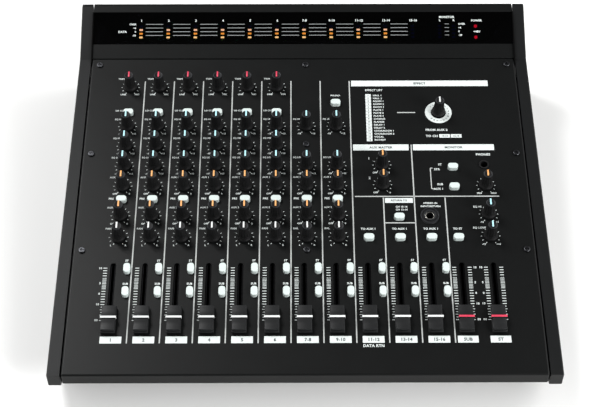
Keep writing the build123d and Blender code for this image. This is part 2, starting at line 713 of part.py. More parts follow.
with BuildPart(panel) as switch_bodies:
    with Locations(*(across_places + upright_places)):
        add(switch.part)

button_banks = {}
for name, places, turn in (
    ("low_cut_buttons", low_cut_places, 0),
    ("pre_fade_buttons", pre_fade_places, 0),
    ("main_assign_buttons", main_assign_places, 90),
    ("sub_assign_buttons", sub_assign_places, 90),
    ("master_buttons", master_places, 0),
):
    with BuildPart(panel) as bank:
        with Locations(*places):
            add(button.part, rotation=(0, 0, turn))
    button_banks[name] = bank.part

# ---------------------------------------------------------------- fader and its track
# Cap with a scooped top each side of the pointer ridge, on a flat lever
with BuildPart() as fader:
    with BuildSketch(Plane.YZ):
        with BuildLine():
            run = Polyline(
                (-CAP_RIDGE_LENGTH / 2, CAP_RIDGE_HEIGHT - CAP_SCOOP),
                (-CAP_RIDGE_LENGTH / 2, CAP_GAP),
                (-CAP_LENGTH / 2, CAP_GAP),
                (-CAP_LENGTH / 2, CAP_END_HEIGHT),
            )
            SagittaArc(run @ 1, run @ 0, -CAP_SCOOP)
        make_face()
        mirror(about=Plane.YZ)
    extrude(amount=CAP_WIDTH / 2, both=True)
    with BuildSketch(Plane.XY.offset(CAP_GAP)):
        Rectangle(CAP_RIDGE_WIDTH, CAP_RIDGE_LENGTH)
    extrude(amount=CAP_RIDGE_HEIGHT - CAP_GAP)
    with BuildSketch(Plane.XY.offset(CAP_GAP)):
        Rectangle(LEVER_WIDTH, LEVER_LENGTH)
    extrude(amount=-CAP_GAP - LEVER_DEPTH)

with BuildPart() as track:
    with BuildSketch(Plane.XY.offset(-BOARD_DROP)):
        Rectangle(TRACK_WIDTH, TRACK_LENGTH)
    extrude(amount=BOARD_DROP - SHEET)
    with BuildSketch(Plane.XY.offset(-SHEET)):
        Rectangle(LEVER_WIDTH + 2 * LEVER_CLEARANCE, FADER_SWEEP)
    extrude(amount=-(LEVER_DEPTH - SHEET + LEVER_CLEARANCE), mode=Mode.SUBTRACT)
    with BuildSketch(Plane.XY.offset(-SHEET)):
        with Locations((0, -TRACK_SCREW_V), (0, TRACK_SCREW_V)):
            Circle(TRACK_SCREW_HOLE / 2)
    extrude(amount=-TRACK_SCREW_LENGTH, mode=Mode.SUBTRACT)

with BuildPart(panel) as fader_tracks:
    with Locations(*[(u, FADER_MID_V) for u in FADERS.values()]):
        add(track.part)

faders = {}
for name, u in FADERS.items():
    with BuildPart(panel) as placed_fader:
        with Locations((u, FADER_REST_V)):
            add(fader.part)
    faders[name] = placed_fader.part

# ---------------------------------------------------------------- screws
# Pan-head screw with a cross recess; the head stands on the plane it is placed on
with BuildPart() as screw:
    with BuildSketch(Plane.XY):
        Circle(SCREW_HEAD / 2)
    extrude(amount=SCREW_HEAD_HEIGHT)
    fillet(edges().group_by(Axis.Z)[-1], SCREW_ROUND)
    with BuildSketch(Plane.XY):
        Circle(SCREW_DIAMETER / 2)
    extrude(amount=-SCREW_LENGTH)
    with BuildSketch(Plane.XY.offset(SCREW_HEAD_HEIGHT)):
        Rectangle(DRIVE_LENGTH, DRIVE_WIDTH)
        Rectangle(DRIVE_WIDTH, DRIVE_LENGTH)
    extrude(amount=-DRIVE_DEPTH, mode=Mode.SUBTRACT)

# Countersunk screw of the fader tracks
CONE = (TRACK_SCREW_HEAD - TRACK_SCREW_HOLE) / 2
with BuildPart() as track_screw:
    with BuildSketch(Plane.XZ):
        with BuildLine():
            Polyline(
                (0, 0),
                (TRACK_SCREW_HEAD / 2 - TRACK_SCREW_CLEARANCE, 0),
                (TRACK_SCREW_HOLE / 2 - TRACK_SCREW_CLEARANCE, -CONE),
                (TRACK_SCREW_HOLE / 2 - TRACK_SCREW_CLEARANCE, -TRACK_SCREW_LENGTH),
                (0, -TRACK_SCREW_LENGTH),
                close=True,
            )
        make_face()
    revolve(axis=Axis.Z)

with BuildPart(panel) as panel_screws:
    with Locations(*(post_places + flange_screw_places)):
        add(screw.part)

with BuildPart(panel) as fader_screws:
    with Locations(*fader_screw_places):
        add(track_screw.part)

board_underside = Plane(
    origin=panel.offset(-BOARD_DROP - BOARD_THICKNESS).origin, x_dir=(1, 0, 0), z_dir=-panel.z_dir
)
screw_planes = [
    Plane(origin=(x, y, FOOT_RECESS_DEPTH), z_dir=(0, 0, -1)) for x, y in feet_places
]
screw_planes += [Plane(origin=(x, y, BASE_Z), z_dir=(0, 0, -1)) for x, y in rear_flange_places]
screw_planes += [
    Plane(origin=(side * WALL_INNER, y, z), z_dir=(-side, 0, 0)) for y, z in CHEEK_BOSSES for side in (-1, 1)
]
screw_planes += [
    Plane(origin=rear.from_local_coords((x, z, MIC_FLANGE_THICKNESS)), z_dir=(0, 1, 0))
    for x, z in mic_screw_places
]
screw_planes += [
    Plane(origin=board_underside.from_local_coords((u, -v, 0)), z_dir=board_underside.z_dir)
    for u, v in post_places
]
with BuildPart() as case_screws:
    with Locations(*screw_planes):
        add(screw.part)

# Threaded posts between the panel and the control board
with BuildPart() as board_posts:
    with BuildSketch(panel.offset(-BOARD_DROP)):
        with Locations(*post_places):
            Circle(POST_DIAMETER / 2)
            Circle(SCREW_THREAD_HOLE / 2, mode=Mode.SUBTRACT)
    extrude(amount=BOARD_DROP - SHEET)

# ---------------------------------------------------------------- sockets, in their own frames
# Quarter-inch jack: moulded body with a hexagonal collar, neck, nose and bore
with BuildPart() as line_jack:
    with BuildSketch(Plane.XY.offset(-SHEET)):
        Rectangle(JACK_BODY_WIDTH, JACK_BODY_HEIGHT)
    extrude(amount=-JACK_BODY_DEPTH)
    with BuildSketch(Plane.XY.offset(-SHEET)):
        Circle(JACK_NECK / 2)
    extrude(amount=SHEET + JACK_NOSE)
    with BuildSketch(Plane.XY):
        RegularPolygon(JACK_NUT / 2, 6)
    extrude(amount=JACK_NUT_HEIGHT)
    with BuildSketch(Plane.XY.offset(JACK_NOSE)):
        Circle(JACK_BORE / 2)
    extrude(amount=-JACK_DEPTH, mode=Mode.SUBTRACT)

with BuildPart(rear) as line_jacks:
    with Locations(*line_places):
        add(line_jack.part)

# The two jacks in the top panel
with BuildPart(panel) as panel_jacks:
    for place, ring, rise in (
        (PHONES_PLACE, PHONES_RING, PHONES_RISE),
        (RETURN_PLACE, JACK_NECK, RETURN_RISE),
    ):
        with BuildSketch(panel.offset(-SHEET)):
            with Locations(place):
                Rectangle(JACK_BODY_WIDTH, JACK_BODY_HEIGHT)
        extrude(amount=-JACK_BODY_DEPTH)
        with BuildSketch(panel.offset(-SHEET)):
            with Locations(place):
                Circle(ring / 2)
        extrude(amount=SHEET + rise)
    with BuildSketch(panel):
        with Locations(RETURN_PLACE):
            Circle(RETURN_RING / 2)
    extrude(amount=RETURN_RISE, taper=RETURN_TAPER)
    with BuildSketch(panel.offset(RETURN_RISE)):
        with Locations(PHONES_PLACE, RETURN_PLACE):
            Circle(JACK_BORE / 2)
    extrude(amount=-JACK_DEPTH, mode=Mode.SUBTRACT)

# Three-pole microphone socket: flange, barrel, ring groove and contact holes
with BuildPart() as mic_socket:
    with BuildSketch(Plane.XY):
        RectangleRounded(MIC_FLANGE_WIDTH, MIC_FLANGE_HEIGHT, MIC_FLANGE_CORNER)
    extrude(amount=MIC_FLANGE_THICKNESS)
    with BuildSketch(Plane.XY.offset(MIC_FLANGE_THICKNESS)):
        Circle(MIC_BARREL / 2)
    extrude(amount=-MIC_FLANGE_THICKNESS - MIC_DEPTH)
    with BuildSketch(Plane.XY.offset(MIC_FLANGE_THICKNESS)):
        Circle(MIC_GROOVE_OUTER / 2)
        Circle(MIC_GROOVE_INNER / 2, mode=Mode.SUBTRACT)
        with PolarLocations(MIC_CONTACT_CIRCLE / 2, 3, start_angle=-90):
            Circle(MIC_CONTACT / 2)
        with Locations((-MIC_SCREW_X, -MIC_SCREW_Z), (MIC_SCREW_X, MIC_SCREW_Z)):
            Circle(SCREW_CLEARANCE_HOLE / 2)
    extrude(amount=-MIC_GROOVE_DEPTH, mode=Mode.SUBTRACT)

with BuildPart(rear) as mic_sockets:
    with Locations(*mic_places):
        add(mic_socket.part)

# Phono socket: a sleeve that the plug pushes over, with a hole for its pin
with BuildPart() as phono_socket:
    with BuildSketch(Plane.XY.offset(-SHEET)):
        Rectangle(PHONO_BODY, PHONO_BODY)
    extrude(amount=-PHONO_BODY)
    with BuildSketch(Plane.XY.offset(-SHEET)):
        Circle(PHONO_SLEEVE / 2)
    extrude(amount=SHEET + PHONO_REACH)
    with BuildSketch(Plane.XY.offset(PHONO_REACH)):
        Circle(PHONO_HOLE / 2)
    extrude(amount=-2 * PHONO_REACH, mode=Mode.SUBTRACT)

with BuildPart(rear) as phono_sockets:
    with Locations(*phono_places):
        add(phono_socket.part)

# Square data socket with its contact tongue set back from the mouth
with BuildPart(rear) as usb_socket:
    with BuildSketch(rear):
        with Locations(usb_place):
            Rectangle(USB_WIDTH, USB_HEIGHT)
            Rectangle(USB_MOUTH_WIDTH, USB_MOUTH_HEIGHT, mode=Mode.SUBTRACT)
    extrude(amount=-USB_DEPTH)
    with BuildSketch(rear.offset(-USB_DEPTH)):
        with Locations(usb_place):
            Rectangle(USB_WIDTH, USB_HEIGHT)
    extrude(amount=SHEET)
    with BuildSketch(rear.offset(-USB_DEPTH)):
        with Locations(usb_place):
            Rectangle(USB_TONGUE_WIDTH, USB_TONGUE_HEIGHT)
    extrude(amount=USB_DEPTH - USB_TONGUE_SETBACK)

# Round low-voltage power inlet: a moulded body with a turned centre pin set through its back wall
with BuildPart(rear) as power_inlet:
    with BuildSketch(rear.offset(-SHEET)):
        with Locations(inlet_place):
            Rectangle(INLET_WIDTH, INLET_HEIGHT)
    extrude(amount=-INLET_DEPTH)
    with BuildSketch(rear.offset(-SHEET)):
        with Locations(inlet_place):
            Circle(INLET_BORE / 2 + INLET_WALL - CLEARANCE)
    extrude(amount=2 * SHEET)
    with BuildSketch(rear.offset(SHEET)):
        with Locations(inlet_place):
            Circle(INLET_BORE / 2)
    extrude(amount=-INLET_DEPTH + SHEET, mode=Mode.SUBTRACT)
    with BuildSketch(rear.offset(-SHEET - INLET_DEPTH)):
        with Locations(inlet_place):
            Circle(INLET_PIN / 2 + INLET_PIN_GAP)
    extrude(amount=INLET_DEPTH / 2, mode=Mode.SUBTRACT)
    with BuildSketch(rear.offset(-SHEET - INLET_DEPTH)):
        with Locations(inlet_place):
            Circle(INLET_PIN / 2)
    extrude(amount=INLET_DEPTH)

# ---------------------------------------------------------------- power switch
with BuildPart() as switch_case:
    with BuildSketch(Plane.XY):
        Rectangle(SWITCH_BEZEL_WIDTH, SWITCH_BEZEL_HEIGHT)
    extrude(amount=SWITCH_BEZEL)
    with BuildSketch(Plane.XY):
        Rectangle(SWITCH_CAVITY_WIDTH + 2 * SWITCH_WALL, SWITCH_CAVITY_HEIGHT + 2 * SWITCH_WALL)
    extrude(amount=-SWITCH_CAVITY_DEPTH - 2 * SHEET)
    with BuildSketch(Plane.XY.offset(SWITCH_BEZEL)):
        Rectangle(SWITCH_CAVITY_WIDTH, SWITCH_CAVITY_HEIGHT)
    extrude(amount=-SWITCH_BEZEL - SWITCH_CAVITY_DEPTH, mode=Mode.SUBTRACT)
    with BuildSketch(Plane.YZ):
        with Locations((0, -ROCKER_PIVOT_DEPTH)):
            Circle(ROCKER_PIN / 2 + ROCKER_PIN_RUNNING)
    extrude(amount=SWITCH_BEZEL_WIDTH, both=True, mode=Mode.SUBTRACT)

with BuildPart() as rocker:
    with BuildSketch(Plane.YZ):
        with BuildLine():
            Polyline(
                (-ROCKER_TOP_LENGTH / 2, ROCKER_EDGE),
                (0, ROCKER_CROWN),
                (ROCKER_TOP_LENGTH / 2, ROCKER_EDGE),
                (ROCKER_BASE_LENGTH / 2, -ROCKER_DEPTH),
                (-ROCKER_BASE_LENGTH / 2, -ROCKER_DEPTH),
                close=True,
            )
        make_face()
    extrude(amount=ROCKER_WIDTH / 2, both=True)
    with BuildSketch(Plane.YZ):
        with Locations((0, -ROCKER_PIVOT_DEPTH)):
            Circle(ROCKER_PIN / 2)
    extrude(amount=SWITCH_CAVITY_WIDTH / 2 + SWITCH_WALL - CLEARANCE, both=True)

with BuildPart(rear) as power_switch_case:
    with Locations(power_place):
        add(switch_case.part)

rocker_axis = Axis((0, 0, -ROCKER_PIVOT_DEPTH), (1, 0, 0))
with BuildPart(rear) as power_rocker:
    with Locations(power_place):
        add(rocker.part.rotate(rocker_axis, ROCKER_TILT))

# ---------------------------------------------------------------- boards and lamps
with BuildPart() as control_board:
    with BuildSketch(panel.offset(-BOARD_DROP)):
        with Locations((0, (CONTROL_BOARD_START + CONTROL_BOARD_END) / 2)):
            Rectangle(2 * CONTROL_BOARD_HALF_WIDTH, CONTROL_BOARD_END - CONTROL_BOARD_START)
        with Locations(PHONES_PLACE, RETURN_PLACE):
            Rectangle(
                JACK_BODY_WIDTH + 2 * JACK_CUTOUT_MARGIN,
                JACK_BODY_HEIGHT + 2 * JACK_CUTOUT_MARGIN,
                mode=Mode.SUBTRACT,
            )
        with Locations(*post_places):
            Circle(SCREW_CLEARANCE_HOLE / 2, mode=Mode.SUBTRACT)
    extrude(amount=-BOARD_THICKNESS)

with BuildPart() as jack_board:
    with BuildSketch(Plane.XZ.offset(-JACK_BOARD_Y)):
        with Locations((0, (JACK_BOARD_BOTTOM + JACK_BOARD_TOP) / 2)):
            Rectangle(2 * JACK_BOARD_HALF_WIDTH, JACK_BOARD_TOP - JACK_BOARD_BOTTOM)
    extrude(amount=-BOARD_THICKNESS)

with BuildPart() as meter_board:
    with BuildSketch(bridge.offset(-RECESS_FLOOR)):
        with Locations((0, (METER_BOARD_START + METER_BOARD_END) / 2)):
            Rectangle(2 * METER_BOARD_HALF_WIDTH, METER_BOARD_END - METER_BOARD_START)
    extrude(amount=-BOARD_THICKNESS)

lamp_columns = [LAMP_FIRST_U + n * LAMP_PITCH for n in range(CHANNELS)] + list(STEREO_LAMPS_U)
lamp_places = [
    (u, LAMP_FIRST_S + row * LAMP_ROW_PITCH) for u in lamp_columns for row in range(LAMP_ROWS)
]
with BuildPart() as meter_lamps:
    with BuildSketch(bridge.offset(-RECESS_FLOOR)):
        with Locations(*lamp_places):
            Rectangle(LAMP_LENGTH, LAMP_WIDTH)
        with Locations(*[(STATUS_LAMP_U, s) for s in STATUS_LAMPS_S]):
            Circle(STATUS_LAMP_RADIUS)
    extrude(amount=SHEET - LAMP_GAP)

# Flat ribbon from the control board down to the jack board
ribbon_start = on_panel(CONTROL_BOARD_END - RIBBON_INSET, -BOARD_DROP - BOARD_THICKNESS)
with BuildPart() as board_ribbon:
    with BuildSketch(Plane.YZ.offset(RIBBON_X)):
        with BuildLine():
            FilletPolyline(
                ribbon_start,
                (ribbon_start[0], ribbon_start[1] - RIBBON_FALL),
                (JACK_BOARD_Y, ribbon_start[1] - RIBBON_FALL),
                radius=RIBBON_BEND,
            )
        trace(line_width=RIBBON_THICKNESS)
    extrude(amount=RIBBON_WIDTH / 2, both=True)
    with BuildSketch(panel.offset(-BOARD_DROP - BOARD_THICKNESS)):
        with Locations((RIBBON_X, CONTROL_BOARD_END - RIBBON_INSET)):
            Rectangle(2 * RIBBON_WIDTH, 4 * RIBBON_THICKNESS)
    extrude(amount=4 * RIBBON_THICKNESS, mode=Mode.SUBTRACT)
    with BuildSketch(Plane.XZ.offset(-JACK_BOARD_Y)):
        with Locations((RIBBON_X, ribbon_start[1] - RIBBON_FALL)):
            Rectangle(2 * RIBBON_WIDTH, 4 * RIBBON_THICKNESS)
    extrude(amount=-RIBBON_THICKNESS, mode=Mode.SUBTRACT)

# ---------------------------------------------------------------- feet
with BuildPart() as rubber_feet:
    with BuildSketch(Plane.XY):
        with Locations(*feet_places):
            Circle(FOOT_DIAMETER / 2)
            Circle(SCREW_CLEARANCE_HOLE / 2, mode=Mode.SUBTRACT)
    extrude(amount=FOOT_HEIGHT)
    with BuildSketch(Plane.XY):
        with Locations(*feet_places):
            Circle(FOOT_RECESS_DIAMETER / 2)
    extrude(amount=FOOT_RECESS_DEPTH, mode=Mode.SUBTRACT)

# ---------------------------------------------------------------- write one file per piece
pieces = {
    "top_panel": top_panel.part,
    "meter_bridge": meter_bridge.part,
    "meter_window": meter_window.part,
    "left_cheek": left_cheek.part,
    "right_cheek": right_cheek.part,
    "bottom_pan": bottom_pan.part,
    "rear_panel": rear_panel.part,
    "panel_screws": panel_screws.part,
    "fader_screws": fader_screws.part,
    "case_screws": case_screws.part,
    "rubber_feet": rubber_feet.part,
    "board_posts": board_posts.part,
    "mic_sockets": mic_sockets.part,
    "line_jacks": line_jacks.part,
    "phono_sockets": phono_sockets.part,
    "usb_socket": usb_socket.part,
    "power_inlet": power_inlet.part,
    "panel_jacks": panel_jacks.part,
    "control_board": control_board.part,
    "jack_board": jack_board.part,
    "meter_board": meter_board.part,
    "board_ribbon": board_ribbon.part,
    "pot_bodies": pot_bodies.part,
    "switch_bodies": switch_bodies.part,
    "fader_tracks": fader_tracks.part,
    "meter_lamps": meter_lamps.part,
    "channel_knobs": channel_knobs.part,
    "power_switch_case": power_switch_case.part,
    "power_rocker": power_rocker.part,
}
pieces.update(single_knobs)
pieces.update(button_banks)
pieces.update(faders)

os.makedirs("parts", exist_ok=True)
for name, piece in pieces.items():
    piece.label = name
    export_step(piece, f"parts/{name}.step")
print(len(pieces), "pieces written")
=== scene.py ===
"""The looks of a table-top mixing console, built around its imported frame.

Sizes are in millimetres and turn into metres where a mesh is made. A place on the control panel
is (across, up): across from the centre line, up the slope from the panel's front edge. A place on
the meter bridge is measured up from the bridge's own front edge in the same way.
"""

from __future__ import annotations

import logging
import math
from collections.abc import Callable, Iterable, Sequence
from dataclasses import dataclass, field
from enum import Enum

import bpy
from mathutils import Matrix, Vector


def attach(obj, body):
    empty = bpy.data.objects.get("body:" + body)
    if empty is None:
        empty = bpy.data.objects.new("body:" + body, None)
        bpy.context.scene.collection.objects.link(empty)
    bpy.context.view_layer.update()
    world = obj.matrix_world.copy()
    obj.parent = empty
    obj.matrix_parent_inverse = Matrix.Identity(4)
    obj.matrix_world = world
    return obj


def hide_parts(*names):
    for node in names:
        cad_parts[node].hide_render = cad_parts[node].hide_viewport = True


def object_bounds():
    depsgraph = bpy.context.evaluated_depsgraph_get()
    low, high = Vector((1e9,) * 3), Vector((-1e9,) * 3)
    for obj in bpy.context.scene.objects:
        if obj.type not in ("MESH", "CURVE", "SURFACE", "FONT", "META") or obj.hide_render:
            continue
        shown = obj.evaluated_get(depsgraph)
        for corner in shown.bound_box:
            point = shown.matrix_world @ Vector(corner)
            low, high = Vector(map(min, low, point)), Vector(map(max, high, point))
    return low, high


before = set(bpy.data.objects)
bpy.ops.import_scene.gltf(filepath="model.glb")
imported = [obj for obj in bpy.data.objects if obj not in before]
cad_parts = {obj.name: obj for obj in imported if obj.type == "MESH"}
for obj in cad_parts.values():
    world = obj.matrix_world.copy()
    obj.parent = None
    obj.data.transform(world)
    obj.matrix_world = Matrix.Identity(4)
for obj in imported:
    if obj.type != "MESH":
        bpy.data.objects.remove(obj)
CAD_LOW, CAD_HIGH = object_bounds()

MM = 0.001
log = logging.getLogger("console")

Object = bpy.types.Object
Material = bpy.types.Material
Place = tuple[float, float]
Dialled = tuple[float, float, tuple[str, str]]  # across, up and end words of a dial

FLAT = 0.9  # faces whose normal rises more than this count as lying flat
STEEP = 0.3  # and those whose normal rises less than this as standing up


# ---------------------------------------------------------------- the case's planes
@dataclass(frozen=True)
class Face:
    """A flat face of the case, with its own across, up and over directions.

    Attributes:
        origin: where the face's own zero point is, in metres.
        across: unit vector along the face, to the right of someone who looks at it.
        normal: unit vector out of the face.
    """

    origin: Vector
    across: Vector
    normal: Vector

    def at(self, across: float, up: float, over: float = 0.0) -> Matrix:
        """Gives the place of something modelled upright at the origin.

        Args:
            across: millimetres along the face.
            up: millimetres up the face.
            over: millimetres out of the face.

        Returns:
            The matrix that takes the model to its place.
        """
        up_way = self.normal.cross(self.across)
        basis = Matrix((self.across, up_way, self.normal)).transposed().to_4x4()
        spot = self.origin + (self.across * across + up_way * up + self.normal * over) * MM
        return Matrix.Translation(spot) @ basis


@dataclass(frozen=True)
class CaseShape:
    """The console's main planes and column places, worked out from the CAD box.

    Attributes:
        panel_tilt: slope of the control panel, in degrees.
        bridge_tilt: slope of the meter bridge, in degrees.
        bridge_length: length of the bridge's slope.
        top_ledge: depth of the flat ledge behind the bridge.
        rear_inset: how far the socket face stands in from the rear edge.
        pitch: distance between two channel strips.
        first_column: place of the first strip's centre line.
        mono: how many strips have a microphone socket; the others are stereo.
        dialled: how many strips have a full column of knobs.
        channels: number of strips.
        sub_offset: distance from the last strip to the group fader.
        main_offset: distance from the last strip to the main fader.
    """

    panel_tilt: float = 7.5
    bridge_tilt: float = 25.5
    bridge_length: float = 52.5
    top_ledge: float = 3.4
    rear_inset: float = 9.0
    pitch: float = 26.4
    first_column: float = -156.2
    mono: int = 6
    dialled: int = 8
    channels: int = 11
    sub_offset: float = 22.6
    main_offset: float = 48.9

    @property
    def depth(self) -> float:
        """Depth of the case over all."""
        return (CAD_HIGH.y - CAD_LOW.y) / MM

    @property
    def panel_length(self) -> float:
        """Length of the panel's slope."""
        covered = self.top_ledge + self.bridge_length * math.cos(math.radians(self.bridge_tilt))
        return (self.depth - covered) / math.cos(math.radians(self.panel_tilt))

    @property
    def panel(self) -> Face:
        """The control panel's face, its zero at the front edge."""
        tilt = math.radians(self.panel_tilt)
        rise = self.bridge_length * math.sin(math.radians(self.bridge_tilt))
        front = CAD_HIGH.z - (rise + self.panel_length * math.sin(tilt)) * MM
        return Face(
            Vector((0, CAD_LOW.y, front)), Vector((1, 0, 0)), Vector((0, -math.sin(tilt), math.cos(tilt)))
        )

    @property
    def bridge(self) -> Face:
        """The meter bridge's face, its zero at the panel's rear edge."""
        slope = math.radians(self.bridge_tilt)
        joint = self.panel.at(0, self.panel_length).translation
        return Face(joint, Vector((1, 0, 0)), Vector((0, -math.sin(slope), math.cos(slope))))

    @property
    def rear(self) -> Face:
        """The socket face, seen from behind."""
        back = CAD_HIGH.y - self.rear_inset * MM
        return Face(Vector((0, back, 0)), Vector((-1, 0, 0)), Vector((0, 1, 0)))

    def column(self, number: int) -> float:
        """Gives the centre line of a channel strip, the first being number 0."""
        return self.first_column + number * self.pitch

    @property
    def last(self) -> float:
        """Centre line of the last strip."""
        return self.column(self.channels - 1)

    @property
    def sub(self) -> float:
        """Centre line of the group fader."""
        return self.last + self.sub_offset

    @property
    def main(self) -> float:
        """Centre line of the main fader."""
        return self.last + self.main_offset


CASE = CaseShape()

# Rows of the control panel, up from its front edge
TRIM_UP, HIGH_UP, MID_UP, LOW_UP = 289.0, 245.0, 223.5, 202.0
AUX_1_UP, AUX_2_UP, PAN_UP = 181.0, 150.5, 129.0
LOW_CUT_UP, PRE_UP, SEND_UP = 259.6, 166.4, 127.3
MAIN_ASSIGN_UP, SUB_ASSIGN_UP = 97.4, 75.2
EFFECT_UP, MASTER_1_UP, MASTER_2_UP = 260.0, 202.7, 181.9
PHONES_UP, PHONES_JACK_UP, RETURN_UP = 181.0, 202.8, 149.3
MAIN_HIGH_UP, MAIN_LOW_UP = 151.5, 129.4
PHONO_UP, FADER_REST_UP = 270.0, 49.0

# Places across: offsets from a strip's centre line, then the master section's columns
ASSIGN_OFFSET, FADER_OFFSET = 9.1, -2.5
EFFECT_OFFSET, RETURN_OFFSET = 12.5, -1.2
MASTER_ACROSS = CASE.column(8) + 12.7
SELECT_ACROSS = CASE.column(9)
MONITOR_ACROSS = CASE.last + 21.5

# Words at the two ends of a dial, and the faders whose caps are red
GAIN_ENDS, LEVEL_ENDS, SIDE_ENDS = ("-15", "+15"), ("OFF", "0"), ("L", "R")
RED_FADERS = ("fader_sub", "fader_main")


def strip_names() -> list[str]:
    """Gives the strips' numbers as they are printed, a stereo strip having two."""
    names = [str(n + 1) for n in range(CASE.mono)]
    for n in range(CASE.mono, CASE.channels):
        left = 2 * n - CASE.mono + 1
        names.append(f"{left}-{left + 1}")
    return names


# ---------------------------------------------------------------- bench work
def clear_selection() -> None:
    """Leaves nothing selected, so that the next operator acts on one piece only."""
    bpy.ops.object.select_all(action="DESELECT")


def take(piece: Object) -> None:
    """Makes a piece the only one selected and the active one."""
    clear_selection()
    piece.select_set(True)
    bpy.context.view_layer.objects.active = piece


def settle(piece: Object, name: str) -> Object:
    """Puts a new piece's place and size into its mesh and names it."""
    bpy.ops.object.transform_apply(location=True, rotation=True, scale=True)
    piece.name = name
    piece.data.name = name
    return piece


def soften(piece: Object, width: float, steps: int = 2, angle: float = 30.0) -> Object:
    """Rounds a piece's sharp edges.

    Args:
        piece: the piece.
        width: width of the rounding.
        steps: faces across the rounding.
        angle: an edge flatter than this many degrees stays as it is.

    Returns:
        The piece.
    """
    take(piece)
    edge = piece.modifiers.new("edge", "BEVEL")
    edge.width = width * MM
    edge.segments = steps
    edge.limit_method = "ANGLE"
    edge.angle_limit = math.radians(angle)
    bpy.ops.object.modifier_apply(modifier=edge.name)
    return piece


def smooth(piece: Object, angle: float = 40.0) -> Object:
    """Shades a piece smooth, except over edges sharper than the angle."""
    take(piece)
    bpy.ops.object.shade_smooth_by_angle(angle=math.radians(angle))
    return piece


def block(name: str, size: Sequence[float], centre: Sequence[float]) -> Object:
    """Starts a piece from a rectangular block of the given size and centre."""
    clear_selection()
    bpy.ops.mesh.primitive_cube_add(size=1, location=Vector(centre) * MM)
    piece = bpy.context.active_object
    piece.scale = Vector(size) * MM
    return settle(piece, name)


def turned(name: str, profile: Sequence[Place], sides: int = 36) -> Object:
    """Draws a round solid up from a disc, ring by ring.

    Args:
        name: name of the piece.
        profile: (radius, height) of each ring, from the first disc on.
        sides: sides of the disc.

    Returns:
        The closed piece, about the Z axis.
    """
    clear_selection()
    radius, height = profile[0]
    bpy.ops.mesh.primitive_circle_add(
        vertices=sides, radius=radius * MM, fill_type="NGON", location=(0, 0, height * MM)
    )
    piece = settle(bpy.context.active_object, name)
    bpy.ops.object.mode_set(mode="EDIT")
    bpy.ops.mesh.select_mode(type="FACE")
    bpy.ops.mesh.select_all(action="SELECT")
    for next_radius, next_height in profile[1:]:
        rise = (next_height - height) * MM
        bpy.ops.mesh.extrude_region_move(TRANSFORM_OT_translate={"value": (0, 0, rise)})
        share = next_radius / radius
        if abs(share - 1) > 1e-6:
            bpy.ops.transform.resize(value=(share, share, 1), center_override=(0, 0, next_height * MM))
        radius, height = next_radius, next_height
    bpy.ops.mesh.select_all(action="SELECT")
    bpy.ops.mesh.normals_make_consistent(inside=False)
    bpy.ops.object.mode_set(mode="OBJECT")
    return piece


def pick(piece: Object, wanted: Callable[[bpy.types.MeshPolygon], bool]) -> None:
    """Opens a piece in edit mode with only the wanted faces selected."""
    take(piece)
    bpy.ops.object.mode_set(mode="EDIT")
    bpy.ops.mesh.select_mode(type="FACE")
    bpy.ops.mesh.select_all(action="DESELECT")
    bpy.ops.object.mode_set(mode="OBJECT")
    for face in piece.data.polygons:
        face.select = wanted(face)
    bpy.ops.object.mode_set(mode="EDIT")


def dress(piece: Object, finish: Material) -> Object:
    """Gives a piece one finish all over."""
    piece.data.materials.clear()
    piece.data.materials.append(finish)
    return piece


def joined(name: str, parts: Sequence[Object]) -> Object:
    """Makes one piece of several."""
    clear_selection()
    for part in parts:
        part.select_set(True)
    bpy.context.view_layer.objects.active = parts[0]
    if len(parts) > 1:
        bpy.ops.object.join()
    parts[0].name = name
    parts[0].data.name = name
    return parts[0]


def copied(source: Object, place: Matrix) -> Object:
    """Makes a copy with its own mesh, its place put into the mesh."""
    copy = source.copy()
    copy.data = source.data.copy()
    copy.data.transform(place)
    bpy.context.scene.collection.objects.link(copy)
    return copy


def copies(source: Object, name: str, places: Iterable[Matrix]) -> Object:
    """Makes one piece of a model's copies, one at each place."""
    return joined(name, [copied(source, place) for place in places])


def discard(*pieces: Object) -> None:
    """Throws away models that have been copied to their places."""
    for piece in pieces:
        bpy.data.objects.remove(piece)


def mount(piece: Object, body: str, stands_for: Sequence[str] = ()) -> Object:
    """Fixes a finished piece to a body and reports it.

    Args:
        piece: the piece, in its place.
        body: the CAD body that it moves with.
        stands_for: CAD nodes that the piece is shown for.

    Returns:
        The piece.
    """
    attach(piece, body)
    if stands_for:
        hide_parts(*stands_for)
    log.info("%s rides on %s", piece.name, body)
    return piece


# ---------------------------------------------------------------- finishes
def linear(code: str, alpha: float = 1.0) -> tuple[float, float, float, float]:
    """Turns an sRGB hex colour into linear values."""
    channels = [int(code[i : i + 2], 16) / 255 for i in (1, 3, 5)]
    red, green, blue = (c / 12.92 if c <= 0.04045 else ((c + 0.055) / 1.055) ** 2.4 for c in channels)
    return red, green, blue, alpha


def add_node(
    tree: bpy.types.NodeTree, kind: str, settings: dict | None = None, links: dict | None = None
) -> bpy.types.Node:
    """Adds a node with its settings and its incoming links.

    Args:
        tree: the material's node tree.
        kind: the node's type name.
        settings: values by name. A lower-case name is the node's own setting, and any other is
            an input's.
        links: output sockets by the name of the input that they feed.

    Returns:
        The node.
    """
    node = tree.nodes.new(kind)
    for name, value in (settings or {}).items():
        if isinstance(name, str) and name[0].islower():
            setattr(node, name, value)
        else:
            node.inputs[name].default_value = value
    for name, source in (links or {}).items():
        tree.links.new(source, node.inputs[name])
    return node


def density(size: float) -> float:
    """Gives the texture scale whose features are as large as a size in millimetres."""
    return 1 / (size * MM)


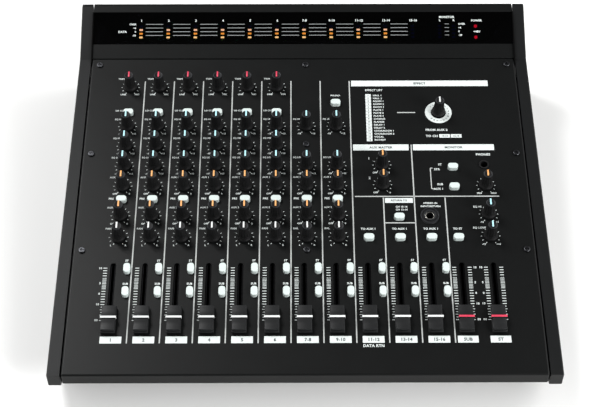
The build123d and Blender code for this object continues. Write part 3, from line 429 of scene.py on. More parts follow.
@dataclass(frozen=True)
class Finish:
    """A surface with a fine grain, a slow drift of colour and a gloss that varies.

    Attributes:
        name: what the surface is and how it was made.
        colour: its colour, as sRGB hex.
        second: the colour that it drifts towards.
        roughness: roughness of the smoothest parts.
        spread: how much rougher the roughest parts are.
        metallic: 1 for bare metal.
        ior: index of refraction.
        grain: size of the surface grain.
        relief: height of the grain.
        patch: size of the patches that the colour drifts over.
        stretch: how far the grain is drawn out along X, as by brushing or turning.
        sheen: dusty lustre of a soft surface.
    """

    name: str
    colour: str
    second: str
    roughness: float
    spread: float = 0.08
    metallic: float = 0.0
    ior: float = 1.5
    grain: float = 0.6
    relief: float = 0.01
    patch: float = 18.0
    stretch: float = 1.0
    sheen: float = 0.0

    def make(self) -> Material:
        """Builds the material.

        Returns:
            The material, with its grain, drift and gloss worked out from Object coordinates.
        """
        material = bpy.data.materials.new(self.name)
        material.use_nodes = True
        tree = material.node_tree
        shader = tree.nodes["Principled BSDF"]
        shader.inputs["Metallic"].default_value = self.metallic
        if not self.metallic:
            shader.inputs["IOR"].default_value = self.ior
        shader.inputs["Sheen Weight"].default_value = self.sheen
        where = add_node(tree, "ShaderNodeTexCoord").outputs["Object"]
        drawn = add_node(
            tree, "ShaderNodeMapping", {"Scale": (1 / self.stretch, 1, 1)}, {"Vector": where}
        ).outputs["Vector"]
        drift = add_node(
            tree, "ShaderNodeTexNoise", {"Scale": density(self.patch), "Detail": 4.0}, {"Vector": where}
        ).outputs["Fac"]
        grain = add_node(
            tree, "ShaderNodeTexNoise", {"Scale": density(self.grain), "Detail": 3.0}, {"Vector": drawn}
        ).outputs["Fac"]
        tint = add_node(
            tree,
            "ShaderNodeMix",
            {"data_type": "RGBA", 6: linear(self.colour), 7: linear(self.second)},
            {"Factor": drift},
        )
        gloss = add_node(
            tree,
            "ShaderNodeMapRange",
            {
                "From Min": 0.3,
                "From Max": 0.7,
                "To Min": self.roughness,
                "To Max": self.roughness + self.spread,
            },
            {"Value": grain},
        )
        bump = add_node(
            tree,
            "ShaderNodeBump",
            {"Strength": 1.0, "Distance": self.relief * MM},
            {"Height": grain},
        )
        tree.links.new(tint.outputs[2], shader.inputs["Base Color"])
        tree.links.new(gloss.outputs["Result"], shader.inputs["Roughness"])
        tree.links.new(bump.outputs["Normal"], shader.inputs["Normal"])
        return material


@dataclass(frozen=True)
class Lamp(Finish):
    """Epoxy lamp resin that glows when it is lit.

    Attributes:
        glow: strength of its light; the unlit lamps keep a faint painted glow.
        light: the colour of its light, as sRGB hex.
    """

    glow: float = 0.0
    light: str = "#ffffff"

    def make(self) -> Material:
        """Builds the resin and sets its light."""
        material = super().make()
        shader = material.node_tree.nodes["Principled BSDF"]
        shader.inputs["Emission Color"].default_value = linear(self.light)
        shader.inputs["Emission Strength"].default_value = self.glow
        return material


@dataclass(frozen=True)
class Smoked(Finish):
    """Cast acrylic with a dark dye, which lets a share of the light through."""

    def make(self) -> Material:
        """Builds the acrylic and lets light through it."""
        material = super().make()
        shader = material.node_tree.nodes["Principled BSDF"]
        shader.inputs["Transmission Weight"].default_value = 1.0
        return material


class Surface(Enum):
    """Every finish on the console."""

    # The black finishes' index of refraction is set below the real one, because the room's white
    # walls would otherwise turn them grey
    # Epoxy powder baked on folded steel: a fine orange peel that breaks up the highlights. Its
    # peel is about half a millimetre, drawn a little coarser so that it shows
    PANEL = Finish("powder_coated_steel_charcoal", "#0b0c0c", "#0f1010", 0.33, 0.10, ior=1.25, grain=0.8,
                   relief=0.012)
    # The pan and the socket face take a darker copy of the panel's coat: painted shade, so that the front lip
    # reads black
    CASE = Finish("powder_coated_steel_painted_shade_black", "#060606", "#0a0a0a", 0.40, 0.12, ior=1.15, grain=0.9,
                  relief=0.014)
    # Moulded ABS from a spark-eroded tool: an even matt grain
    CHEEK = Finish("moulded_abs_charcoal", "#0f1010", "#131415", 0.36, 0.12, ior=1.28, grain=0.7,
                   relief=0.014)
    # Soft-touch ABS of the knobs, almost without gloss, with handled patches
    KNOB = Finish("soft_touch_abs_black", "#070708", "#0b0b0c", 0.46, 0.18, ior=1.28, grain=0.45,
                  relief=0.006,
                  patch=6.0, sheen=0.03)
    # A lighter grey for the knobs' top edges and the jack rings: a painted highlight on their rims
    RIM_HIGHLIGHT = Finish("moulded_abs_grey_painted_highlight", "#17191c", "#1e2023", 0.42, 0.12, ior=1.35, grain=0.45, relief=0.004,
                 patch=5.0)
    CAP = Finish("moulded_abs_fader_cap", "#101112", "#151617", 0.40, 0.14, ior=1.35, grain=0.4, relief=0.006,
                 patch=7.0)
    # Glossy ABS buttons: nearly white, faintly cool, with a soft scatter
    BUTTON = Finish("moulded_abs_white", "#ccd6d3", "#c2cdca", 0.28, 0.10, grain=0.5, relief=0.003, patch=9.0)
    SOCKET = Finish("moulded_nylon_black", "#0e0e0f", "#151516", 0.30, 0.10, grain=0.5, relief=0.004,
                    patch=5.0)
    ROCKER = Finish("moulded_nylon_rocker", "#101010", "#161617", 0.24, 0.08, grain=0.5, relief=0.003,
                    patch=6.0)
    # Pad-printed pointer paints
    RED_PAINT = Finish("pad_print_red", "#c42846", "#cc3c56", 0.40, 0.10, grain=0.4, relief=0.004, patch=2.0)
    BLUE_PAINT = Finish("pad_print_pale_blue", "#a4dce6", "#b8e4ea", 0.40, 0.10, grain=0.4, relief=0.004,
                        patch=2.0)
    AMBER_PAINT = Finish("pad_print_amber", "#e09a52", "#e6ab6e", 0.40, 0.10, grain=0.4, relief=0.004,
                         patch=2.0)
    WHITE_PAINT = Finish("pad_print_white", "#dcdedd", "#d2d5d4", 0.40, 0.10, grain=0.4, relief=0.004,
                         patch=2.0)
    # Screen-printed inks: a thin film whose edge of mesh shows as a fine tooth
    WHITE_INK = Finish("screen_ink_white", "#d3d9d7", "#c9d0ce", 0.50, 0.14, grain=0.3, relief=0.004,
                       patch=6.0)
    GREY_INK = Finish("screen_ink_grey", "#a9acaa", "#b3b6b4", 0.50, 0.14, grain=0.3, relief=0.004, patch=6.0)
    METER_INK = Finish("screen_ink_mid_grey", "#7d8080", "#868989", 0.50, 0.14, grain=0.3, relief=0.004,
                       patch=6.0)
    DARK_INK = Finish("screen_ink_dark", "#33383b", "#42474a", 0.50, 0.14, grain=0.3, relief=0.004, patch=6.0)
    # Metals: black oxide and zinc on screws, nickel on sockets, each with turning marks
    BLACK_SCREW = Finish("black_oxide_steel", "#3c3d40", "#57585b", 0.24, 0.16, metallic=1.0, grain=0.3,
                         relief=0.004, patch=1.6)
    ZINC = Finish("bright_zinc_steel", "#aeb3b6", "#c2c7c9", 0.28, 0.14, metallic=1.0, grain=0.3,
                  relief=0.004,
                  patch=2.0)
    NICKEL = Finish("satin_nickel_brass", "#a9a7a0", "#bdbbb4", 0.22, 0.12, metallic=1.0, grain=0.35,
                    relief=0.003, patch=3.0, stretch=6.0)
    GOLD = Finish("gold_flashed_contact", "#caa75a", "#d8b970", 0.24, 0.10, metallic=1.0, grain=0.3,
                  relief=0.003, patch=2.0)
    TRACK = Finish("pressed_steel_track", "#0d0d0e", "#161617", 0.44, 0.16, metallic=1.0, grain=0.6,
                   relief=0.006, patch=4.0, stretch=4.0)
    # Moulded rubber feet: matt, with a bloom of dust
    RUBBER = Finish("moulded_rubber", "#151515", "#232322", 0.72, 0.16, grain=0.7, relief=0.02, patch=5.0,
                    sheen=0.2)
    # Dead black strips in the gaps of the case: painted shade where the gaps' shadow falls
    GAP_SHADE = Finish("gap_shade_black", "#050505", "#080808", 0.85, 0.10, ior=1.15, grain=0.8, relief=0.02,
                  patch=4.0)
    # Lacquered glass-epoxy board and the ribbon's sleeve
    BOARD = Finish("lacquered_circuit_board", "#17492f", "#1e5a38", 0.30, 0.10, grain=1.2, relief=0.02,
                   patch=8.0)
    RIBBON = Finish("vinyl_ribbon_sleeve", "#8f9396", "#a0a4a6", 0.45, 0.10, grain=1.3, relief=0.05,
                    patch=9.0,
                    stretch=0.05)
    # Cast acrylic, almost black, with a polished face
    WINDOW = Smoked("smoked_cast_acrylic", "#3c3c44", "#383840", 0.03, 0.02, ior=1.25, grain=6.0,
                    relief=0.0005,
                    patch=60.0)
    # Lamp resins
    LIT_TOP = Lamp("lamp_resin_warm_white", "#ffe2bc", "#ffecd0", 0.30, patch=2.0, glow=22.0, light="#ffc08c")
    LIT_MID = Lamp("lamp_resin_amber", "#ffb23e", "#ffc05c", 0.30, patch=2.0, glow=20.0, light="#ff9c34")
    LIT_LOW = Lamp("lamp_resin_yellow", "#ffcf6e", "#ffdb8e", 0.30, patch=2.0, glow=24.0, light="#ffc878")
    LIT_RED = Lamp("lamp_resin_red", "#ff2418", "#ff4030", 0.30, patch=1.5, glow=10.0, light="#ff1830")
    # The unlit lamps keep a faint blue glow though they are off: a painted glow
    UNLIT = Lamp("lamp_resin_dark_painted_glow", "#1c2146", "#262c58", 0.30, patch=2.0, glow=0.35, light="#2c3c9a")
    # The floor that the console stands on
    FLOOR = Finish("painted_studio_floor", "#f6f6f5", "#f2f2f1", 0.60, 0.10, grain=6.0, relief=0.02,
                   patch=400.0)


class Finishes:
    """Makes each finish once and hands it out."""

    def __init__(self) -> None:
        """Starts with nothing made."""
        self.made: dict[Surface, Material] = {}

    def get(self, surface: Surface) -> Material:
        """Gives a surface's material, made on first use."""
        if surface not in self.made:
            self.made[surface] = surface.value.make()
        return self.made[surface]


# ---------------------------------------------------------------- the CAD pieces' finishes
@dataclass(frozen=True)
class FrameDress:
    """The finishes of the CAD pieces that are shown as they are.

    Attributes:
        surfaces: the finish of each CAD node.
    """

    surfaces: dict[str, Surface] = field(
        default_factory=lambda: {
            "top_panel": Surface.PANEL,
            "meter_bridge": Surface.PANEL,
            "meter_window": Surface.WINDOW,
            "left_cheek": Surface.CHEEK,
            "right_cheek": Surface.CHEEK,
            "bottom_pan": Surface.CASE,
            "rear_panel": Surface.CASE,
            "panel_screws": Surface.BLACK_SCREW,
            "fader_screws": Surface.PANEL,
            "case_screws": Surface.ZINC,
            "rubber_feet": Surface.RUBBER,
            "board_posts": Surface.ZINC,
            "mic_sockets": Surface.SOCKET,
            "line_jacks": Surface.SOCKET,
            "phono_sockets": Surface.NICKEL,
            "usb_socket": Surface.NICKEL,
            "power_inlet": Surface.SOCKET,
            "panel_jacks": Surface.SOCKET,
            "control_board": Surface.BOARD,
            "jack_board": Surface.BOARD,
            "meter_board": Surface.BOARD,
            "board_ribbon": Surface.RIBBON,
            "pot_bodies": Surface.ZINC,
            "switch_bodies": Surface.SOCKET,
            "fader_tracks": Surface.TRACK,
            "power_switch_case": Surface.ROCKER,
            "power_rocker": Surface.ROCKER,
            "low_cut_buttons": Surface.BUTTON,
            "pre_fade_buttons": Surface.BUTTON,
            "main_assign_buttons": Surface.BUTTON,
            "sub_assign_buttons": Surface.BUTTON,
            "master_buttons": Surface.BUTTON,
        }
    )

    def apply(self, finishes: Finishes) -> None:
        """Puts each finish on its CAD node."""
        for name, surface in self.surfaces.items():
            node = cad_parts[name]
            node.data.materials.clear()
            node.data.materials.append(finishes.get(surface))
            log.info("%s is finished in %s", name, surface.value.name)


@dataclass(frozen=True)
class GapShadeStrips:
    """Dead black strips in the gap between the bridge and each cheek: painted shade where the gap's shadow
    falls.

    Attributes:
        width: width of a strip.
        sink: how far its top lies below the case's highest line.
        depth: its run from front to back.
        height: its height.
        side: distance from the centre line to each strip.
        back_gap: distance from the socket face to a strip's rear end.
    """

    width: float = 0.9
    sink: float = 0.9
    depth: float = 46.0
    height: float = 14.0
    side: float = 194.1
    back_gap: float = 1.0

    def build(self, finishes: Finishes) -> None:
        """Models both strips."""
        top = CAD_HIGH.z / MM - self.sink
        back = CASE.rear.origin.y / MM - self.back_gap
        for name, side in (("left_gap_shade_strip", -1), ("right_gap_shade_strip", 1)):
            strip = block(
                name,
                (self.width, self.depth, self.height),
                (side * self.side, back - self.depth / 2, top - self.height / 2),
            )
            slope = math.tan(math.radians(CASE.bridge_tilt))
            for vertex in strip.data.vertices:
                vertex.co.z -= (back * MM - vertex.co.y) * slope
            # Dead black: painted shade filling the gap
            dress(soften(strip, 0.15, 1), finishes.get(Surface.GAP_SHADE))
            mount(strip, "console")


# ---------------------------------------------------------------- knobs
class Dial(Enum):
    """The pointer paint of each kind of knob."""

    TRIM = Surface.RED_PAINT
    TONE = Surface.BLUE_PAINT
    SEND = Surface.AMBER_PAINT
    PAN = Surface.WHITE_PAINT


@dataclass(frozen=True)
class KnobModel:
    """A tapering soft-touch knob with a fluted skirt and a painted pointer.

    Attributes:
        skirt: radius of the skirt.
        waist: radius where the grip starts.
        top: radius of the top.
        gap: clearance under the skirt.
        skirt_height: height of the skirt's straight wall.
        height: height over the panel.
        shaft: radius of the shaft.
        reach: how far the shaft goes below the panel.
        pointer: width, length and height of the pointer.
        proud: how far it stands over the top and out past its edge.
        sides: sides of the round body.
        flute: depth of the grip's flutes.
        flute_every: how many faces round the grip there are to one flute.
        flute_share: a flute's share of those faces, a hair over one face.
        flute_span: how far from the grip's middle height its own faces can have theirs.
        cover: radius of the top's black middle; the edge outside it takes a lighter grey, a painted
            highlight.
        rim: width of the softened edges.
    """

    skirt: float = 6.0
    waist: float = 4.9
    top: float = 3.8
    gap: float = 1.0
    skirt_height: float = 2.2
    height: float = 18.0
    shaft: float = 3.0
    reach: float = 10.5
    pointer: tuple[float, float, float] = (1.35, 5.9, 1.1)
    proud: float = 0.15
    sides: int = 36
    flute: float = 0.28
    flute_every: int = 3
    flute_share: float = 0.34
    flute_span: float = 3.0
    cover: float = 2.0
    rim: float = 0.35

    def body(self, finishes: Finishes) -> Object:
        """Models the shaft, skirt and grip in one."""
        shoulder = self.gap + 2 * self.skirt_height
        piece = turned(
            "knob_body",
            [
                (self.shaft, -self.reach),
                (self.shaft, self.gap),
                (self.skirt - self.rim, self.gap),
                (self.skirt, self.gap + self.rim),
                (self.skirt, self.gap + self.skirt_height),
                (self.skirt - self.rim, self.gap + self.skirt_height + self.rim),
                (self.waist, shoulder),
                (self.top + self.rim / 2, self.height - 2 * self.rim),
                (self.top, self.height - self.rim / 2),
                (self.top - self.rim, self.height),
                (self.top - 2 * self.rim, self.height - self.rim / 2),
            ],
            self.sides,
        )
        dress(piece, finishes.get(Surface.KNOB))
        # The second finish is a lighter grey for the top's edge: a painted highlight
        piece.data.materials.append(finishes.get(Surface.RIM_HIGHLIGHT))
        middle = (shoulder + self.height) / 2 * MM
        flute_turn = 2 * math.pi / self.sides * self.flute_every

        def is_flute(face: bpy.types.MeshPolygon) -> bool:
            """Tells whether a face is one of the grip's flutes."""
            turn = math.atan2(face.center.y, face.center.x) + 2 * math.pi
            on_grip = abs(face.center.z - middle) < self.flute_span * MM and abs(face.normal.z) < STEEP
            return on_grip and (turn / flute_turn) % 1 < self.flute_share

        pick(piece, is_flute)
        bpy.ops.mesh.inset(thickness=self.flute * MM / 2, depth=-self.flute * MM)
        bpy.ops.object.mode_set(mode="OBJECT")
        # Faces of the top's edge outside the black middle take the lighter grey, a painted highlight
        highlight_low = (self.height - 2.5 * self.rim) * MM
        for face in piece.data.polygons:
            off_middle = math.hypot(face.center.x, face.center.y) > self.cover * MM
            is_highlight_rim = face.center.z > highlight_low and off_middle
            face.material_index = int(is_highlight_rim)
        return smooth(piece, 35)

    def model(self, dial: Dial, finishes: Finishes) -> Object:
        """Models the whole knob with its pointer straight up."""
        _, length, tall = self.pointer
        middle = (0, self.top + self.proud - length / 2, self.height + self.proud - tall / 2)
        bar = block("knob_pointer", self.pointer, middle)
        soften(bar, 0.22, 2)
        dress(smooth(bar), finishes.get(dial.value))
        return joined("knob_model", [self.body(finishes), bar])


@dataclass(frozen=True)
class Knobs:
    """All 58 knobs: thirteen that turn on their own, and seven rows that stand still.

    Attributes:
        shape: the shape of every knob.
    """

    shape: KnobModel = KnobModel()

    def rows(self) -> dict[str, tuple[Dial, list[Place]]]:
        """Gives the kind and places of the rows of channels 2 and up."""
        mono = range(1, CASE.mono)
        every = range(1, CASE.dialled)
        return {
            "trim_knobs": (Dial.TRIM, [(CASE.column(n), TRIM_UP) for n in mono]),
            "high_knobs": (Dial.TONE, [(CASE.column(n), HIGH_UP) for n in every]),
            "mid_knobs": (Dial.TONE, [(CASE.column(n), MID_UP) for n in mono]),
            "low_knobs": (Dial.TONE, [(CASE.column(n), LOW_UP) for n in every]),
            "aux_1_knobs": (Dial.SEND, [(CASE.column(n), AUX_1_UP) for n in every]),
            "aux_2_knobs": (Dial.SEND, [(CASE.column(n), AUX_2_UP) for n in every]),
            "pan_knobs": (Dial.PAN, [(CASE.column(n), PAN_UP) for n in every]),
        }

    def singles(self) -> dict[str, tuple[Dial, Place]]:
        """Gives the kind and place of each knob that turns."""
        first = CASE.column(0)
        return {
            "effect_knob": (Dial.PAN, (CASE.last + EFFECT_OFFSET, EFFECT_UP)),
            "aux_1_master_knob": (Dial.SEND, (MASTER_ACROSS, MASTER_1_UP)),
            "aux_2_master_knob": (Dial.SEND, (MASTER_ACROSS, MASTER_2_UP)),
            "phones_knob": (Dial.SEND, (CASE.main, PHONES_UP)),
            "main_high_knob": (Dial.TONE, (CASE.main, MAIN_HIGH_UP)),
            "main_low_knob": (Dial.TONE, (CASE.main, MAIN_LOW_UP)),
            "trim_knob_1": (Dial.TRIM, (first, TRIM_UP)),
            "high_knob_1": (Dial.TONE, (first, HIGH_UP)),
            "mid_knob_1": (Dial.TONE, (first, MID_UP)),
            "low_knob_1": (Dial.TONE, (first, LOW_UP)),
            "aux_1_knob_1": (Dial.SEND, (first, AUX_1_UP)),
            "aux_2_knob_1": (Dial.SEND, (first, AUX_2_UP)),
            "pan_knob_1": (Dial.PAN, (first, PAN_UP)),
        }

    def build(self, finishes: Finishes) -> None:
        """Models one knob of each kind and copies it to its places."""
        models = {dial: self.shape.model(dial, finishes) for dial in Dial}
        for name, (dial, places) in self.rows().items():
            piece = copies(models[dial], name, [CASE.panel.at(*place) for place in places])
            mount(piece, "console", ["channel_knobs"])
        for name, (dial, place) in self.singles().items():
            piece = copied(models[dial], CASE.panel.at(*place))
            piece.name = f"{name}_grip"
            piece.data.name = piece.name
            mount(piece, name, [name])
        discard(*models.values())


# ---------------------------------------------------------------- faders
@dataclass(frozen=True)
class FaderCap:
    """A fader cap with hollowed finger rests each side of a painted ridge, on its flat lever.

    Attributes:
        width: width over the rests.
        length: length over the rests.
        foot: clearance over the panel.
        end_height: height of the ends.
        ridge: width, length and height of the ridge.
        line: width of the painted line, its height and how far it covers the ridge.
        lever: width, length and depth of the lever.
        step: height of the skirt's top.
        ledge: how far the skirt stands out past the ends of the body.
        side_ledge: how far it stands out past the sides.
        rest_heights: height of the rests at each distance from the middle.
        tuck: how far the body reaches down into the skirt.
    """

    width: float = 12.0
    length: float = 24.0
    foot: float = 1.0
    end_height: float = 6.1
    ridge: tuple[float, float, float] = (12.6, 2.4, 7.3)
    line: tuple[float, float, float] = (1.9, 2.6, 0.08)
    lever: tuple[float, float, float] = (1.4, 3.2, 8.5)
    step: float = 3.2
    ledge: float = 0.9
    side_ledge: float = 0.35
    rest_heights: tuple[Place, ...] = ((1.3, 6.7), (3.5, 6.0), (6.2, 5.7), (8.8, 5.8))
    tuck: float = 0.4

    def rests(self, finishes: Finishes) -> Object:
        """Models the upper body with its two hollowed rests."""
        low = self.step - self.tuck
        piece = block(
            "cap_body",
            (self.width - 2 * self.side_ledge, self.length - 2 * self.ledge, self.end_height - low),
            (0, 0, (low + self.end_height) / 2),
        )
        bpy.ops.object.mode_set(mode="EDIT")
        for cut, _ in self.rest_heights:
            for side in (-1, 1):
                bpy.ops.mesh.select_all(action="SELECT")
                bpy.ops.mesh.bisect(plane_co=(0, side * cut * MM, 0), plane_no=(0, 1, 0))
        bpy.ops.object.mode_set(mode="OBJECT")
        for vertex in piece.data.vertices:
            if vertex.co.z > (self.end_height - 0.1) * MM:
                for cut, height in self.rest_heights:
                    if abs(abs(vertex.co.y) - cut * MM) < 0.05 * MM:
                        vertex.co.z = height * MM
        soften(piece, 0.3, 3, 50)
        return dress(smooth(piece, 50), finishes.get(Surface.CAP))

    def skirt(self, finishes: Finishes) -> Object:
        """Models the straight skirt whose top shows as a ledge round the body."""
        piece = block(
            "cap_skirt", (self.width, self.length, self.step - self.foot), (0, 0, (self.foot + self.step) / 2)
        )
        soften(piece, 0.22, 2, 50)
        return dress(smooth(piece, 50), finishes.get(Surface.CAP))

    def model(self, paint: Surface, finishes: Finishes) -> Object:
        """Models the whole cap with its line and lever."""
        width, length, height = self.ridge
        ridge = block("cap_ridge", (width, length, height - self.step), (0, 0, (height + self.step) / 2))
        dress(smooth(soften(ridge, 0.3, 2)), finishes.get(Surface.CAP))
        wide, tall, cover = self.line
        line = block("cap_line", (width + 2 * cover, wide, tall), (0, 0, height - tall / 2 + cover))
        dress(smooth(soften(line, 0.25, 2)), finishes.get(paint))
        blade, along, depth = self.lever
        lever = block("cap_lever", (blade, along, depth + self.foot), (0, 0, (self.foot - depth) / 2))
        dress(soften(lever, 0.2, 1), finishes.get(Surface.ZINC))
        return joined("cap_model", [self.rests(finishes), self.skirt(finishes), ridge, line, lever])


@dataclass(frozen=True)
class Faders:
    """The thirteen fader caps, at the foot of their travel.

    Attributes:
        cap: the shape of every cap.
    """

    cap: FaderCap = FaderCap()

    def places(self) -> dict[str, float]:
        """Gives the place across of each fader's slot."""
        found = {}
        for n, numbers in enumerate(strip_names()):
            found[f"fader_{numbers.replace('-', '_')}"] = CASE.column(n) + FADER_OFFSET
        found["fader_sub"] = CASE.sub
        found["fader_main"] = CASE.main
        return found

    def build(self, finishes: Finishes) -> None:
        """Models one cap in each paint and copies it to every slot."""
        white = self.cap.model(Surface.WHITE_PAINT, finishes)
        red = self.cap.model(Surface.RED_PAINT, finishes)
        for name, across in self.places().items():
            source = red if name in RED_FADERS else white
            piece = copied(source, CASE.panel.at(across, FADER_REST_UP))
            piece.name = f"{name}_cap"
            piece.data.name = piece.name
            mount(piece, name, [name])
        discard(white, red)


# ---------------------------------------------------------------- meter lamps
@dataclass(frozen=True)
class Meters:
    """The lamps behind the smoked window.

    Attributes:
        first: place of the first column and of its lowest lamp.
        pitch: distance between columns.
        row: distance between rows.
        rows: lamps in a column.
        lit_columns: how many columns are lit.
        stereo: places of the two monitor columns.
        status: place of the status lamps' column.
        status_ups: places of the two status lamps in it.
        status_profile: radius and height of each ring of a status lamp, from its foot up.
        lamp: width and length of a lamp.
        floor: depth of the lamps' seat below the bridge's face.
        lamp_height: height of a lamp over its seat.
    """

    first: Place = (-149.8, 22.5)
    pitch: float = 25.1
    row: float = 3.67
    rows: int = 4
    lit_columns: int = 10
    stereo: Place = (126.4, 139.2)
    status: float = 159.6
    status_ups: Place = (22.2, 33.2)
    status_profile: tuple[Place, ...] = ((1.5, 0.0), (1.5, 0.6), (1.2, 0.85), (0.6, 1.0))
    lamp: Place = (3.1, 1.75)
    floor: float = 3.2
    lamp_height: float = 0.5

    def columns(self) -> list[float]:
        """Gives the places of every column."""
        return [self.first[0] + n * self.pitch for n in range(CASE.channels)] + list(self.stereo)

    def build(self, finishes: Finishes) -> None:
        """Models a lamp and a status lamp and copies them to their places."""
        width, length = self.lamp
        lamp = block("lamp_model", (width, length, self.lamp_height), (0, 0, self.lamp_height / 2))
        smooth(soften(lamp, 0.3, 2))
        lit = {row: [] for row in range(self.rows)}
        unlit = []
        for number, across in enumerate(self.columns()):
            for row in range(self.rows):
                place = CASE.bridge.at(across, self.first[1] + row * self.row, -self.floor)
                if number < self.lit_columns and row < self.rows - 1:
                    lit[row].append(place)
                else:
                    unlit.append(place)
        for row, surface in ((0, Surface.LIT_LOW), (1, Surface.LIT_MID), (2, Surface.LIT_TOP)):
            piece = copies(dress(lamp, finishes.get(surface)), f"lit_lamps_row_{row + 1}", lit[row])
            mount(piece, "console", ["meter_lamps"])
        piece = copies(dress(lamp, finishes.get(Surface.UNLIT)), "unlit_lamps", unlit)
        mount(piece, "console")
        round_lamp = turned("status_lamp_model", self.status_profile, 20)
        dress(smooth(round_lamp), finishes.get(Surface.LIT_RED))
        places = [CASE.bridge.at(self.status, up, -self.floor) for up in self.status_ups]
        mount(copies(round_lamp, "status_lamps", places), "console")
        discard(lamp, round_lamp)


# ---------------------------------------------------------------- print
@dataclass
class PrintSheet:
    """Everything printed on one face in one ink, as a thin film.

    Attributes:
        face: the face that it is printed on.
        ink: its ink.
        over: height of the film's underside over the face.
        film: thickness of the film.
        parts: what has been printed so far.
        words: the words already modelled, by text, height and alignment.
        stock: the bar that every bar is copied from, once there is one.
    """

    face: Face
    ink: Material
    over: float = 0.01
    film: float = 0.05
    parts: list[Object] = field(default_factory=list)
    words: dict[tuple[str, float, str], Object] = field(default_factory=dict)
    stock: Object | None = None

    def lay(self, source: Object, across: float, up: float) -> None:
        """Prints a model at a place on the face."""
        self.parts.append(copied(source, self.face.at(across, up, self.over)))

    def bar(self, across: float, up: float, width: float, length: float) -> None:
        """Prints a solid bar about its centre."""
        if self.stock is None:
            self.stock = block("print_stock", (1, 1, self.film), (0, 0, self.film / 2))
        size = Matrix.Diagonal((width, length, 1, 1))
        self.parts.append(copied(self.stock, self.face.at(across, up, self.over) @ size))

    def word(self, text: str, across: float, up: float, height: float = 2.0, align: str = "CENTER") -> None:
        """Prints a word.

        Args:
            text: the word.
            across: place of its centre or of its aligned end.
            up: place of its middle.
            height: height of a capital.
            align: how it lies about its place.
        """
        key = (text, height, align)
        if key not in self.words:
            self.words[key] = self.lettering(*key)
        self.lay(self.words[key], across, up)

    def lettering(self, text: str, height: float, align: str) -> Object:
        """Models a word as a thin film, its middle at the origin."""
        capital_share, weight, spacing = 0.72, 0.045, 1.06
        clear_selection()
        bpy.ops.object.text_add()
        piece = bpy.context.active_object
        piece.data.body = text
        piece.data.size = height / capital_share * MM
        piece.data.align_x = align
        piece.data.resolution_u = 2
        piece.data.offset = height * weight * MM
        piece.data.space_character = spacing
        piece.data.extrude = self.film / 2 * MM
        bpy.ops.object.convert(target="MESH")
        piece = bpy.context.active_object
        piece.data.transform(Matrix.Translation((0, -height / 2 * MM, self.film / 2 * MM)))
        return piece

    def ticks(self, count: int, radius: float, sweep: float, size: Place) -> Object:
        """Models a dial's ticks about the origin, spread evenly over the sweep."""
        tick = block("tick", (*size, self.film), (0, radius - size[1] / 2, self.film / 2))
        turns = [math.radians(sweep / 2 - sweep * n / (count - 1)) for n in range(count)]
        scale = copies(tick, "dial_scale", [Matrix.Rotation(turn, 4, "Z") for turn in turns])
        discard(tick)
        return scale

    def ring(self, across: float, up: float, outer: float, inner: float) -> None:
        """Prints a flat ring."""
        piece = turned("ring", [(outer, 0), (outer, self.film)], 64)
        pick(piece, lambda face: abs(face.normal.z) > FLAT)
        bpy.ops.mesh.inset(thickness=(outer - inner) * MM, depth=0)
        bpy.ops.mesh.bridge_edge_loops()
        bpy.ops.object.mode_set(mode="OBJECT")
        self.lay(piece, across, up)
        discard(piece)

    def finish(self, name: str, body: str, slot: str) -> None:
        """Joins all that was printed into one piece and mounts it."""
        discard(*self.words.values())
        if self.stock is not None:
            discard(self.stock)
        piece = dress(joined(name, self.parts), self.ink)
        mount(piece, body)


@dataclass(frozen=True)
class DividingLines:
    """The lines that divide the control panel.

    Attributes:
        width: width of a line.
        offset: distance from a strip's centre line to the line on its right.
        low: where the strips' lines start.
        high: where most of them end.
        short_ends: where the lines right of the last three strips end, by strip.
        section_up: place of the line under the master section.
        section_in: distance from the dialled strips' last line to its start.
        section_out: distance from the main fader to its end.
        select_up: place of the line between the select button and the send button.
        effect_line: length of the line beside the effect knob, and its distance from the strip.
        bracket_reach: distance from the monitor buttons to the bracket that joins them.
        bracket_ends: places of the bracket's two arms.
        bracket_arm: length and thickness of an arm.
    """

    width: float = 1.0
    offset: float = 12.9
    low: float = 28.5
    high: float = 296.0
    short_ends: tuple[Place, ...] = ((8, 168.5), (9, 224.5), (10, 168.5))
    section_up: float = 169.8
    section_in: float = 2.0
    section_out: float = 10.7
    select_up: float = 142.8
    effect_line: float = 16.2
    bracket_reach: float = 19.5
    bracket_ends: Place = (177.7, 199.3)
    bracket_arm: Place = (2.0, 0.8)

    def bracket(self, sheet: PrintSheet) -> None:
        """Prints the bracket that joins the two monitor buttons."""
        across = MONITOR_ACROSS - self.bracket_reach
        low, high = self.bracket_ends
        arm, thick = self.bracket_arm
        sheet.bar(across, (low + high) / 2, thick, high - low)
        for up in self.bracket_ends:
            sheet.bar(across + arm / 2, up, arm, thick)

    def build(self, finishes: Finishes) -> None:
        """Prints every line."""
        sheet = PrintSheet(CASE.panel, finishes.get(Surface.GREY_INK))
        ends = dict(self.short_ends)
        for n in range(CASE.channels):
            high = ends.get(n, self.high)
            sheet.bar(CASE.column(n) + self.offset, (self.low + high) / 2, self.width, high - self.low)
        left = CASE.column(CASE.dialled - 1) + self.offset + self.section_in
        right = CASE.main + self.section_out
        sheet.bar((left + right) / 2, self.section_up, right - left, self.width)
        sheet.bar(SELECT_ACROSS, self.select_up, CASE.pitch, self.width)
        self.bracket(sheet)
        sheet.bar(CASE.last - self.effect_line, EFFECT_UP, self.effect_line, self.width)
        sheet.finish("dividing_lines", "console", "panel_paint")


